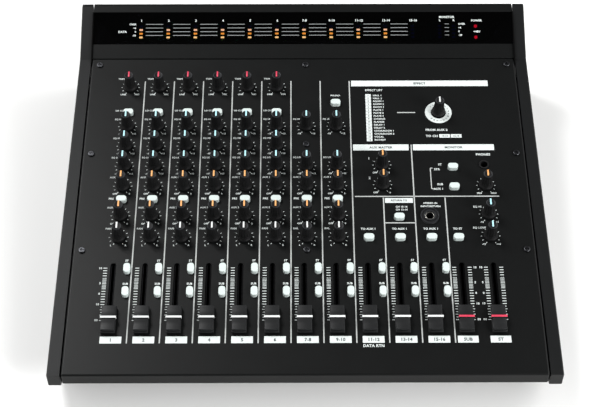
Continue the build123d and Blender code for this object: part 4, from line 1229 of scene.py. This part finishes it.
@dataclass(frozen=True)
class DialScale:
    """The ticks and the two end words round a knob.

    Attributes:
        count: number of ticks.
        radius: outer radius of the ticks.
        sweep: degrees from the first tick to the last.
        tick: width and length of a tick.
        ends: how far beside and below the knob's centre the end words are.
        height: height of their capitals.
    """

    count: int = 11
    radius: float = 8.3
    sweep: float = 300.0
    tick: Place = (0.42, 1.25)
    ends: Place = (6.2, 8.0)
    height: float = 1.6

    def lay(self, sheet: PrintSheet, dials: Iterable[Dialled]) -> None:
        """Prints the ticks and end words round each dial."""
        scale = sheet.ticks(self.count, self.radius, self.sweep, self.tick)
        beside, below = self.ends
        for across, up, (low, high) in dials:
            sheet.lay(scale, across, up)
            sheet.word(low, across - beside, up - below, self.height)
            sheet.word(high, across + beside, up - below, self.height)
        discard(scale)


@dataclass(frozen=True)
class DialRow:
    """A row of dials on the strips.

    Attributes:
        up: place of the row.
        ends: words at the two ends of a dial.
        label: name of the row.
        rise: place of the name over the knob's centre.
        height: height of the name's capitals.
    """

    up: float
    ends: tuple[str, str]
    label: str
    rise: float
    height: float = 1.6


@dataclass(frozen=True)
class StripPrint:
    """The dials and labels of the dialled strips.

    Attributes:
        shared: the rows of dials that every strip has.
        mono: those that only the microphone strips have.
        stereo: those that only the stereo strips have.
        left: distance from a strip's centre line to its names.
        low_cut: place of the low cut button's name over the button, and its height.
        pre: the pre-fader button's name in the same way, after its distance to the left.
        phono: the phono button's name in the same way as the low cut button's.
    """

    shared: tuple[DialRow, ...] = (
        DialRow(HIGH_UP, GAIN_ENDS, "EQ HI", 8.0),
        DialRow(LOW_UP, GAIN_ENDS, "EQ LO", 9.2),
        DialRow(AUX_1_UP, LEVEL_ENDS, "AUX 1", 9.2),
        DialRow(AUX_2_UP, LEVEL_ENDS, "AUX 2", 8.4),
    )
    mono: tuple[DialRow, ...] = (
        DialRow(TRIM_UP, ("LINE", "MIC"), "TRIM", 9.8, 1.7),
        DialRow(MID_UP, GAIN_ENDS, "EQ MID", 8.6),
        DialRow(PAN_UP, SIDE_ENDS, "PAN", 8.6, 1.8),
    )
    stereo: tuple[DialRow, ...] = (DialRow(PAN_UP, SIDE_ENDS, "BAL", 8.6, 1.8),)
    left: float = 11.7
    low_cut: Place = (3.1, 1.6)
    pre: tuple[float, float, float] = (11.2, 1.6, 1.9)
    phono: Place = (9.4, 1.6)

    def build(self, finishes: Finishes) -> None:
        """Prints the dials and labels, strip by strip."""
        sheet = PrintSheet(CASE.panel, finishes.get(Surface.WHITE_INK))
        dials = []
        for n in range(CASE.dialled):
            across = CASE.column(n)
            for row in self.shared + (self.mono if n < CASE.mono else self.stereo):
                dials.append((across, row.up, row.ends))
                sheet.word(row.label, across - self.left, row.up + row.rise, row.height, "LEFT")
            if n < CASE.mono:
                rise, height = self.low_cut
                sheet.word("LO CUT", across - self.left, LOW_CUT_UP + rise, height, "LEFT")
            left, rise, height = self.pre
            sheet.word("PRE", across - left, PRE_UP + rise, height, "LEFT")
        DialScale().lay(sheet, dials)
        rise, height = self.phono
        sheet.word("PHONO", CASE.column(CASE.dialled - 1), PHONO_UP + rise, height)
        sheet.finish("strip_print", "console", "panel_paint")


@dataclass(frozen=True)
class FaderPrint:
    """The scales beside the faders' slots, their numbers and the assignment labels.

    Attributes:
        ends: places of the lowest and the highest tick.
        count: number of ticks.
        long: length of a main tick.
        short: length of the ticks between, in the lowest part.
        short_until: number of the last tick of the lowest part.
        thick: thickness of a tick.
        fine_ends: places of the first and last tick of the finely divided middle.
        fine_count: number of its ticks.
        fine_thick: their thickness.
        beside: distance from a slot's centre to the middle of its scale.
        numbers: the numbers and their places.
        number_gap: distance from a scale's middle to its numbers.
        first_gap: distance from the first strip's centre line to its numbers.
        number: height of a number.
        assign: place of an assignment label from its button, across and up, and its height.
    """

    ends: Place = (49.5, 98.8)
    count: int = 21
    long: float = 3.3
    short: float = 2.2
    short_until: int = 6
    thick: float = 0.6
    fine_ends: Place = (78.9, 88.9)
    fine_count: int = 9
    fine_thick: float = 0.4
    beside: float = 6.4
    numbers: tuple[tuple[str, float], ...] = (
        ("10", 98.8), ("5", 84.4), ("0", 74.4), ("10", 64.5), ("00", 49.8)
    )
    number_gap: float = 3.0
    first_gap: float = 11.6
    number: float = 1.9
    assign: tuple[float, float, float] = (-0.6, 8.6, 1.8)

    def scale(self, film: float) -> Object:
        """Models the scale beside a slot: ticks, and a finely divided middle."""
        parts = []
        low, high = self.ends
        for n in range(self.count):
            up = low + (high - low) * n / (self.count - 1)
            wide = self.short if n % 2 and n <= self.short_until else self.long
            parts.append(block("tick", (wide, self.thick, film), (0, up, film / 2)))
        low, high = self.fine_ends
        for n in range(self.fine_count):
            up = low + (high - low) * n / (self.fine_count - 1)
            parts.append(block("tick", (self.long, self.fine_thick, film), (0, up, film / 2)))
        return joined("fader_scale", parts)

    def build(self, finishes: Finishes, slots: dict[str, float]) -> None:
        """Prints the scales, numbers and labels.

        Args:
            finishes: the finishes.
            slots: place across of each fader's slot.
        """
        sheet = PrintSheet(CASE.panel, finishes.get(Surface.WHITE_INK))
        scale = self.scale(sheet.film)
        for name, across in slots.items():
            sheet.lay(scale, across - self.beside, 0)
            if name in RED_FADERS:
                sheet.lay(scale, across + self.beside, 0)
        discard(scale)
        beside = self.beside + self.number_gap
        for text, up in self.numbers:
            sheet.word(text, CASE.column(0) - self.first_gap, up, self.number, "RIGHT")
            sheet.word(text, CASE.sub + beside, up, self.number, "LEFT")
            sheet.word(text, CASE.main - beside, up, self.number, "RIGHT")
        shift, rise, height = self.assign
        for n in range(CASE.channels):
            for text, up in (("ST", MAIN_ASSIGN_UP), ("SUB", SUB_ASSIGN_UP)):
                sheet.word(text, CASE.column(n) + ASSIGN_OFFSET + shift, up + rise, height)
        sheet.finish("fader_print", "console", "panel_paint")


@dataclass(frozen=True)
class ProgramList:
    """The list of effect programs.

    Attributes:
        names: the programs, from the top row down.
        number_across: centre of the column of numbers.
        name_across: left edge of the names.
        low: place of the lowest row.
        row: distance between rows.
        cell: width and length of a number's white cell.
        number: height of a number.
        name: height of a name's capitals.
    """

    names: tuple[str, ...] = (
        "HALL 1", "HALL 2", "ROOM 1", "ROOM 2", "ROOM 3", "PLATE 1", "PLATE 2", "PLATE 3", "CHORUS",
        "FLANGE", "DELAY 1", "DELAY 2", "CHOR/ROOM 1", "CHOR/ROOM 2", "VOCAL", "ROTARY",
    )
    number_across: float = 58.1
    name_across: float = 62.4
    low: float = 229.9
    row: float = 3.3
    cell: Place = (5.0, 3.05)
    number: float = 1.5
    name: float = 1.75

    def rows(self) -> list[tuple[str, str, float]]:
        """Gives each program's number, name and place, from the lowest row up."""
        count = len(self.names)
        return [(str(count - n), self.names[-1 - n], self.low + n * self.row) for n in range(count)]


@dataclass(frozen=True)
class BoxPrint:
    """The white boxes, headings and effect ring, and the dark words in them.

    Attributes:
        box: width and length of a strip's box.
        up: place of the strips' boxes.
        fader_box: width of the box of the group or main fader.
        fader_shift: how far that box stands right of its fader.
        number: height of a number in a box.
        dark_over: height of the dark ink over the face.
        data: place and height of the label under the ninth strip's box.
        headings: left, right, place, length and word of each heading.
        word_share: height of a heading's capitals as a share of its length.
        cells: the two cells beside the effect's own label: place across and word.
        cell_up: their place.
        cell: width and length of such a cell.
        cell_word: height of their words.
        ring: outer and inner radius of the effect ring.
        ring_numbers: radius of its numbers, and their height.
        ring_start: direction of its first number, in degrees.
        ring_step: degrees from a number to the next.
    """

    box: Place = (17.5, 6.2)
    up: float = 31.6
    fader_box: float = 16.6
    fader_shift: float = 0.6
    number: float = 2.8
    dark_over: float = 0.07
    data: Place = (26.0, 2.4)
    headings: tuple[tuple[float, float, float, float, str], ...] = (
        (CASE.column(7) + 14.6, CASE.main + 10.3, 293.1, 6.4, "EFFECT"),
        (CASE.column(7) + 14.6, CASE.column(9) + 10.6, 221.6, 6.4, "AUX MASTER"),
        (CASE.column(9) + 14.4, CASE.main + 10.3, 221.6, 6.4, "MONITOR"),
        (CASE.column(9) - 12.2, CASE.column(9) + 11.6, 165.6, 4.9, "RETURN TO"),
    )
    word_share: float = 0.36
    cells: tuple[tuple[float, str], ...] = ((124.4, "13-14"), (134.6, "15-16"))
    cell_up: float = 234.0
    cell: Place = (9.4, 3.7)
    cell_word: float = 1.6
    ring: Place = (11.9, 6.8)
    ring_numbers: Place = (9.3, 1.3)
    ring_start: float = 135.0
    ring_step: float = 18.0

    def boxes(self, white: PrintSheet, dark: PrintSheet) -> None:
        """Prints the strips' and faders' boxes with their numbers."""
        for n, text in enumerate(strip_names()):
            white.bar(CASE.column(n), self.up, *self.box)
            dark.word(text, CASE.column(n), self.up, self.number)
        for text, across in (("SUB", CASE.sub), ("ST", CASE.main)):
            white.bar(across + self.fader_shift, self.up, self.fader_box, self.box[1])
            dark.word(text, across + self.fader_shift, self.up, self.number)
        white.word("DATA RTN", CASE.column(CASE.dialled), *self.data)

    def effect(self, white: PrintSheet, dark: PrintSheet, programs: ProgramList) -> None:
        """Prints the cells of the effect section and its numbered ring."""
        for number, _, up in programs.rows():
            white.bar(programs.number_across, up, *programs.cell)
            dark.word(number, programs.number_across, up, programs.number)
        for across, text in self.cells:
            white.bar(across, self.cell_up, *self.cell)
            dark.word(text, across, self.cell_up, self.cell_word)
        middle = CASE.last + EFFECT_OFFSET
        white.ring(middle, EFFECT_UP, *self.ring)
        radius, height = self.ring_numbers
        for n in range(len(programs.names)):
            turn = math.radians(self.ring_start - self.ring_step * n)
            place = (middle + radius * math.cos(turn), EFFECT_UP + radius * math.sin(turn))
            dark.word(str(n + 1), *place, height)

    def build(self, finishes: Finishes) -> None:
        """Prints the white sheet and the dark one over it."""
        white = PrintSheet(CASE.panel, finishes.get(Surface.WHITE_INK))
        dark = PrintSheet(CASE.panel, finishes.get(Surface.DARK_INK), over=self.dark_over)
        self.boxes(white, dark)
        for left, right, up, tall, text in self.headings:
            white.bar((left + right) / 2, up, right - left, tall)
            dark.word(text, (left + right) / 2, up, tall * self.word_share)
        self.effect(white, dark, ProgramList())
        white.finish("number_boxes", "console", "panel_paint")
        dark.finish("dark_numbers", "console", "panel_paint")


@dataclass(frozen=True)
class Label:
    """A printed word.

    Attributes:
        text: the word.
        across: place of its centre or of its aligned end.
        up: place of its middle.
        height: height of a capital.
        align: how it lies about its place.
    """

    text: str
    across: float
    up: float
    height: float
    align: str = "CENTER"


@dataclass(frozen=True)
class MasterPrint:
    """The dials and labels of the master section.

    Attributes:
        dials: place and end words of each dial.
        labels: the words.
        sends: place of a send button's label from the button, across and up, and its height.
    """

    dials: tuple[Dialled, ...] = (
        (MASTER_ACROSS, MASTER_1_UP, LEVEL_ENDS),
        (MASTER_ACROSS, MASTER_2_UP, LEVEL_ENDS),
        (CASE.main, PHONES_UP, ("MIN", "MAX")),
        (CASE.main, MAIN_HIGH_UP, GAIN_ENDS),
        (CASE.main, MAIN_LOW_UP, GAIN_ENDS),
    )
    labels: tuple[Label, ...] = (
        Label("EFFECT LIST", 55.6, 285.4, 2.0, "LEFT"),
        Label("FROM AUX 2", 107.9, 240.7, 2.3, "LEFT"),
        Label("TO CH", 107.9, 234.0, 2.3, "LEFT"),
        Label("PHONES", CASE.main, 213.9, 2.3),
        Label("ST", MONITOR_ACROSS - 9.4, 203.2, 2.0, "RIGHT"),
        Label("2TR", MONITOR_ACROSS - 11.4, 198.1, 2.0, "RIGHT"),
        Label("SUB", MONITOR_ACROSS - 9.4, 182.4, 2.0, "RIGHT"),
        Label("AUX 1", MONITOR_ACROSS - 9.4, 177.6, 2.0, "RIGHT"),
        Label("1", MASTER_ACROSS - 11.0, MASTER_1_UP + 7.2, 2.4),
        Label("2", MASTER_ACROSS - 11.0, MASTER_2_UP + 7.2, 2.4),
        Label("EQ HI", CASE.main - 5.4, MAIN_HIGH_UP + 7.6, 1.9, "RIGHT"),
        Label("EQ LOW", CASE.main - 3.4, MAIN_LOW_UP + 8.4, 1.9, "RIGHT"),
        Label("CH 15-16", SELECT_ACROSS + 1.6, 159.2, 1.7),
        Label("CH 13-14", SELECT_ACROSS + 1.6, 156.2, 1.7),
        Label("STEREO IN", CASE.last, 162.8, 1.7),
        Label("INPUT/RETURN", CASE.last, 159.6, 1.7),
    )
    sends: tuple[float, float, float] = (-1.0, 9.6, 1.9)

    def build(self, finishes: Finishes) -> None:
        """Prints the section."""
        sheet = PrintSheet(CASE.panel, finishes.get(Surface.WHITE_INK))
        programs = ProgramList()
        for _, name, up in programs.rows():
            sheet.word(name, programs.name_across, up, programs.name, "LEFT")
        for label in self.labels:
            sheet.word(label.text, label.across, label.up, label.height, label.align)
        shift, rise, height = self.sends
        for n in range(CASE.dialled, CASE.channels):
            sheet.word("TO AUX 1", CASE.column(n) + shift, SEND_UP + rise, height)
        sheet.word("TO ST", CASE.sub + shift, SEND_UP + rise, height)
        DialScale().lay(sheet, self.dials)
        sheet.finish("master_print", "console", "panel_paint")


@dataclass(frozen=True)
class MeterPrint:
    """The print on the meter window.

    Attributes:
        label_up: place of the columns' numbers.
        number: how far a number stands right of its column, and its height.
        line: width and thickness of a line between columns.
        short_line: the same for the lines between the monitor columns.
        line_rise: place of a line over the foot of its lamps.
        levels: the level that each row of lamps stands for.
        level_gaps: distance from the first and from the last column to the levels.
        level: height of the levels.
        data: place of the interface's label from the first column, across, and up.
        capital: height of the other capitals.
        monitor: place of the monitor heading over the numbers, and its height.
        status: place of a status lamp's name from the lamp, across and up.
    """

    label_up: float = 38.1
    number: Place = (0.5, 2.2)
    line: Place = (15.9, 0.55)
    short_line: Place = (4.0, 0.5)
    line_rise: float = 0.9
    levels: tuple[str, ...] = ("-20", "0", "+6", "OVER")
    level_gaps: Place = (4.4, 4.2)
    level: float = 1.7
    data: Place = (-16.9, 27.0)
    capital: float = 2.0
    monitor: Place = (3.2, 2.1)
    status: Place = (0.8, 4.6)

    def lines(self, finishes: Finishes, meters: Meters, rises: Sequence[float]) -> None:
        """Prints the lines between the columns."""
        sheet = PrintSheet(CASE.bridge, finishes.get(Surface.METER_INK))
        for up in rises:
            for across in meters.columns()[: CASE.channels - 1]:
                sheet.bar(across + meters.pitch / 2, up, *self.line)
            sheet.bar(sum(meters.stereo) / 2, up, *self.short_line)
        sheet.finish("meter_lines", "console", "window_acrylic")

    def build(self, finishes: Finishes, meters: Meters) -> None:
        """Prints the column numbers, the lines between columns and the levels."""
        sheet = PrintSheet(CASE.bridge, finishes.get(Surface.WHITE_INK))
        columns = meters.columns()
        shift, height = self.number
        for text, across in zip(strip_names(), columns):
            sheet.word(text, across + shift, self.label_up, height)
        rises = [meters.first[1] + row * meters.row + self.line_rise for row in range(meters.rows)]
        before, after = self.level_gaps
        for text, up in zip(self.levels, rises):
            sheet.word(text, columns[0] - before, up, self.level, "RIGHT")
            sheet.word(text, meters.stereo[1] + after, up, self.level, "LEFT")
        sheet.word("DATA", columns[0] + self.data[0], self.data[1], self.capital)
        for text, across in zip("LR", meters.stereo):
            sheet.word(text, across, self.label_up, self.capital)
        rise, height = self.monitor
        sheet.word("MONITOR", sum(meters.stereo) / 2, self.label_up + rise, height)
        shift, rise = self.status
        for text, up in zip(("+48V", "POWER"), meters.status_ups):
            sheet.word(text, meters.status + shift, up + rise, self.capital)
        sheet.finish("meter_labels", "console", "window_acrylic")
        self.lines(finishes, meters, rises)


# ---------------------------------------------------------------- sockets
@dataclass(frozen=True)
class Collar:
    """A turned ring with softened edges.

    Attributes:
        outer: its outer radius.
        inner: its inner radius.
        low: where it starts, out from the face.
        high: where it ends.
    """

    outer: float
    inner: float
    low: float
    high: float

    def model(self, name: str, finish: Material) -> Object:
        """Models the ring about the origin."""
        piece = turned(name, [(self.outer, self.low), (self.outer, self.high)], 32)
        pick(piece, lambda face: abs(face.normal.z) > FLAT)
        bpy.ops.mesh.inset(thickness=(self.outer - self.inner) * MM, depth=0)
        bpy.ops.mesh.bridge_edge_loops()
        bpy.ops.object.mode_set(mode="OBJECT")
        soften(piece, 0.12, 2, 60)
        return dress(smooth(piece), finish)

    def place(self, name: str, finish: Material, places: Sequence[Matrix], slot: str) -> None:
        """Models the ring, copies it to its places and mounts the copies as one piece."""
        model = self.model(f"{name}_model", finish)
        mount(copies(model, name, places), "console")
        discard(model)


@dataclass(frozen=True)
class SocketDetail:
    """The parts of the sockets that shine or carry colour.

    Attributes:
        upper_z: height of the upper row of sockets.
        lower_z: height of the row under it.
        line_z: height of the microphone strips' jacks.
        base_z: height of the lowest sockets.
        mic_z: height of the microphone sockets.
        sleeve: the plated sleeve of a jack.
        return_sink: depth of the sleeve in the return jack.
        nut: the headphones jack's nut, in the lighter grey of a painted highlight.
        return_highlight_rims: the rims of the return jack's collar, in the lighter grey of a painted
            highlight.
        phono: the coloured ring of a phono socket.
        phono_side: half the distance between the two sockets of a side-by-side pair.
        contact: a microphone socket's contact tube.
        contact_radius: radius of the circle that the contacts stand on.
        contact_turns: their directions, in degrees.
    """

    upper_z: float = 70.0
    lower_z: float = 46.0
    line_z: float = 38.0
    base_z: float = 24.0
    mic_z: float = 70.0
    sleeve: Collar = Collar(3.9, 3.3, 0.6, 3.45)
    return_sink: float = 2.1
    nut: Collar = Collar(5.2, 3.4, -3.1, -1.8)
    return_highlight_rims: tuple[Collar, ...] = (Collar(7.9, 7.1, 1.2, 2.05), Collar(5.3, 4.3, 1.2, 2.05))
    phono: Collar = Collar(4.9, 4.25, 0.0, 1.3)
    phono_side: float = 5.5
    contact: Collar = Collar(1.22, 0.7, -9.0, 1.2)
    contact_radius: float = 4.1
    contact_turns: tuple[float, ...] = (-90, 30, 150)

    def line_places(self) -> list[Matrix]:
        """Gives the places of the sixteen quarter-inch jacks on the rear face."""
        found = [CASE.rear.at(-CASE.column(n), self.line_z) for n in range(CASE.mono)]
        for across in (CASE.column(6), CASE.column(7), CASE.column(8), CASE.sub, CASE.main):
            found += [CASE.rear.at(-across, z) for z in (self.upper_z, self.lower_z)]
        return found

    def jacks(self, finishes: Finishes) -> None:
        """Models the jacks' sleeves, the headphones jack's nut and the return jack's collar."""
        # The nut and the collar's rims take a lighter grey: a painted highlight
        nickel, highlight_grey = finishes.get(Surface.NICKEL), finishes.get(Surface.RIM_HIGHLIGHT)
        self.sleeve.place("line_jack_sleeves", nickel, self.line_places(), "plated_sleeves")
        spot = (CASE.last + RETURN_OFFSET, RETURN_UP)
        sunk = CASE.panel.at(*spot, -self.return_sink)
        self.sleeve.place("panel_jack_sleeves", nickel, [sunk], "plated_sleeves")
        phones = CASE.panel.at(CASE.main, PHONES_JACK_UP)
        self.nut.place("phones_jack_nut", highlight_grey, [phones], "socket_plastic")
        collar = joined("return_model", [rim.model("rim", highlight_grey) for rim in self.return_highlight_rims])
        mount(copies(collar, "return_jack_highlight_rims", [CASE.panel.at(*spot)]), "console")
        discard(collar)

    def phonos(self, finishes: Finishes) -> None:
        """Models the phono sockets' rings, white on the left channel and red on the right."""
        for name, z, side, surface in (
            ("left_phono_rings", self.upper_z, -1, Surface.WHITE_PAINT),
            ("right_phono_rings", self.lower_z, 1, Surface.RED_PAINT),
        ):
            places = [CASE.rear.at(-CASE.column(n), z) for n in (9, 10)]
            places.append(CASE.rear.at(-CASE.column(7) + side * self.phono_side, self.base_z))
            self.phono.place(name, finishes.get(surface), places, "socket_plastic")

    def contacts(self, finishes: Finishes) -> None:
        """Models the contacts of the microphone sockets."""
        places = []
        for n in range(CASE.mono):
            for turn in map(math.radians, self.contact_turns):
                x = -CASE.column(n) + self.contact_radius * math.cos(turn)
                places.append(CASE.rear.at(x, self.mic_z + self.contact_radius * math.sin(turn)))
        self.contact.place("mic_contacts", finishes.get(Surface.GOLD), places, "plated_sleeves")

    def build(self, finishes: Finishes) -> None:
        """Models every socket's details."""
        self.jacks(finishes)
        self.phonos(finishes)
        self.contacts(finishes)


@dataclass(frozen=True)
class RearPrint:
    """The print on the socket face.

    Attributes:
        height: height of a capital.
        mic_drop: distance from a microphone socket down to its name.
        line_drop: the same for the jacks below them.
        jack_drop: the same for the other jacks.
        phono_drop: the same for a side-by-side pair of phono sockets.
        tape_drop: the same for the upper row of phono sockets.
        base_drop: the same for the data socket and the inlet.
        switch_side: distance from the power switch to its name.
    """

    height: float = 2.2
    mic_drop: float = 17.4
    line_drop: float = 10.2
    jack_drop: float = 9.8
    phono_drop: float = 7.4
    tape_drop: float = 8.0
    base_drop: float = 8.2
    switch_side: float = 13.5

    def names(self, sockets: SocketDetail) -> list[tuple[str, float, float]]:
        """Gives each name, its strip's place and its height."""
        found = []
        for n in range(CASE.mono):
            found.append((f"MIC {n + 1}", CASE.column(n), sockets.mic_z - self.mic_drop))
            found.append((f"LINE {n + 1}", CASE.column(n), sockets.line_z - self.line_drop))
        for across, upper, lower in (
            (CASE.column(6), "LINE 7", "LINE 8"),
            (CASE.column(7), "LINE 9", "LINE 10"),
            (CASE.column(8), "AUX L", "AUX R"),
            (CASE.sub, "SUB L", "SUB R"),
            (CASE.main, "ST L", "ST R"),
        ):
            found.append((upper, across, sockets.upper_z - self.jack_drop))
            found.append((lower, across, sockets.lower_z - self.jack_drop))
        found.append(("PHONO", CASE.column(7), sockets.base_z - self.phono_drop))
        found.append(("2TR IN", CASE.column(9), sockets.upper_z - self.tape_drop))
        found.append(("2TR OUT", CASE.last, sockets.upper_z - self.tape_drop))
        found.append(("DATA", CASE.column(9), sockets.base_z - self.base_drop))
        found.append(("DC IN", CASE.sub, sockets.base_z - self.base_drop))
        found.append(("POWER", CASE.main - self.switch_side, sockets.base_z))
        return found

    def build(self, finishes: Finishes, sockets: SocketDetail) -> None:
        """Prints what each socket is."""
        sheet = PrintSheet(CASE.rear, finishes.get(Surface.WHITE_INK))
        for text, across, z in self.names(sockets):
            sheet.word(text, -across, z, self.height)
        sheet.finish("rear_print", "console", "case_paint")


# ---------------------------------------------------------------- the room
@dataclass(frozen=True)
class Studio:
    """A plain pale floor, soft light and the camera.

    Attributes:
        eye: place of the camera.
        aim: the point that it looks at.
        lens: its focal length, in millimetres on a 36 mm frame.
        roll: its roll, in degrees.
        floor_size: side of the square floor.
        lit_wall: brightness of the side walls.
        dark_wall: brightness of the walls, floor and ceiling between them.
        edge: how far aside the dark ends and the full light begins, of 1.
        boxes: the soft boxes: name, place, width and height, power in watts.
    """

    eye: tuple[float, float, float] = (-7.91, -805.19, 957.8)
    aim: tuple[float, float, float] = (-3.6, -23.7, 61.6)
    lens: float = 83.49
    roll: float = 0.108
    floor_size: float = 9000.0
    lit_wall: float = 1.3
    dark_wall: float = 0.1
    edge: Place = (0.25, 0.75)
    boxes: tuple[tuple[str, tuple[float, float, float], Place, float], ...] = (
        ("left_box", (-1080, 790, 2050), (700, 900), 38.0),
        ("right_box", (1800, 500, 1600), (900, 1400), 12.0),
        ("front_box", (1700, -1500, 1300), (1000, 800), 56.0),
    )

    def floor(self, finishes: Finishes) -> None:
        """Lays the floor."""
        clear_selection()
        bpy.ops.mesh.primitive_plane_add(size=self.floor_size * MM)
        floor = settle(bpy.context.active_object, "studio_floor")
        dress(floor, finishes.get(Surface.FLOOR))

    def soft_light(self, name: str, place: Sequence[float], size: Place, power: float) -> None:
        """Hangs a soft box that faces the console.

        Args:
            name: name of the light.
            place: where its middle is.
            size: its width and height.
            power: its power, in watts.
        """
        light = bpy.data.lights.new(name, "AREA")
        light.shape = "RECTANGLE"
        light.size, light.size_y = size[0] * MM, size[1] * MM
        light.energy = power
        lamp = bpy.data.objects.new(name, light)
        lamp.location = Vector(place) * MM
        aim = Vector((0, 0, 60 * MM)) - lamp.location
        lamp.rotation_euler = aim.to_track_quat("-Z", "Y").to_euler()
        bpy.context.scene.collection.objects.link(lamp)

    def room(self) -> None:
        """Surrounds the console with two lit side walls and dark ones between them."""
        world = bpy.data.worlds.new("studio_room")
        world.use_nodes = True
        tree = world.node_tree
        where = add_node(tree, "ShaderNodeTexCoord").outputs["Generated"]
        across = add_node(tree, "ShaderNodeSeparateXYZ", {}, {"Vector": where}).outputs["X"]
        aside = add_node(tree, "ShaderNodeMath", {"operation": "ABSOLUTE"}, {0: across}).outputs["Value"]
        level = add_node(
            tree,
            "ShaderNodeMapRange",
            {
                "interpolation_type": "SMOOTHSTEP",
                "From Min": self.edge[0],
                "From Max": self.edge[1],
                "To Min": self.dark_wall,
                "To Max": self.lit_wall,
            },
            {"Value": aside},
        )
        sky = tree.nodes["Background"]
        sky.inputs["Color"].default_value = (1.0, 1.0, 1.0, 1.0)
        tree.links.new(level.outputs["Result"], sky.inputs["Strength"])
        bpy.context.scene.world = world

    def light(self) -> None:
        """Lights the console from behind on both sides and the floor from in front."""
        self.room()
        for box in self.boxes:
            self.soft_light(*box)

    def camera(self) -> None:
        """Sets up the camera."""
        data = bpy.data.cameras.new("camera")
        data.lens = self.lens
        data.sensor_width = 36.0
        data.clip_start = 0.05
        camera = bpy.data.objects.new("camera", data)
        camera.location = Vector(self.eye) * MM
        look = (Vector(self.aim) - Vector(self.eye)).to_track_quat("-Z", "Y")
        roll = Matrix.Rotation(math.radians(self.roll), 3, "Z")
        camera.rotation_euler = (look.to_matrix() @ roll).to_euler()
        bpy.context.scene.collection.objects.link(camera)
        bpy.context.scene.camera = camera

    def build(self, finishes: Finishes) -> None:
        """Makes the room."""
        bpy.context.scene.view_settings.view_transform = "Standard"
        self.camera()
        self.floor(finishes)
        self.light()


def main() -> None:
    """Builds the console's looks in order."""
    logging.basicConfig(level=logging.INFO, format="%(message)s")
    finishes = Finishes()
    Studio().build(finishes)
    FrameDress().apply(finishes)
    GapShadeStrips().build(finishes)
    Knobs().build(finishes)
    faders = Faders()
    faders.build(finishes)
    meters = Meters()
    meters.build(finishes)
    DividingLines().build(finishes)
    StripPrint().build(finishes)
    FaderPrint().build(finishes, faders.places())
    BoxPrint().build(finishes)
    MasterPrint().build(finishes)
    MeterPrint().build(finishes, meters)
    sockets = SocketDetail()
    sockets.build(finishes)
    RearPrint().build(finishes, sockets)


if __name__ == "__main__":
    main()
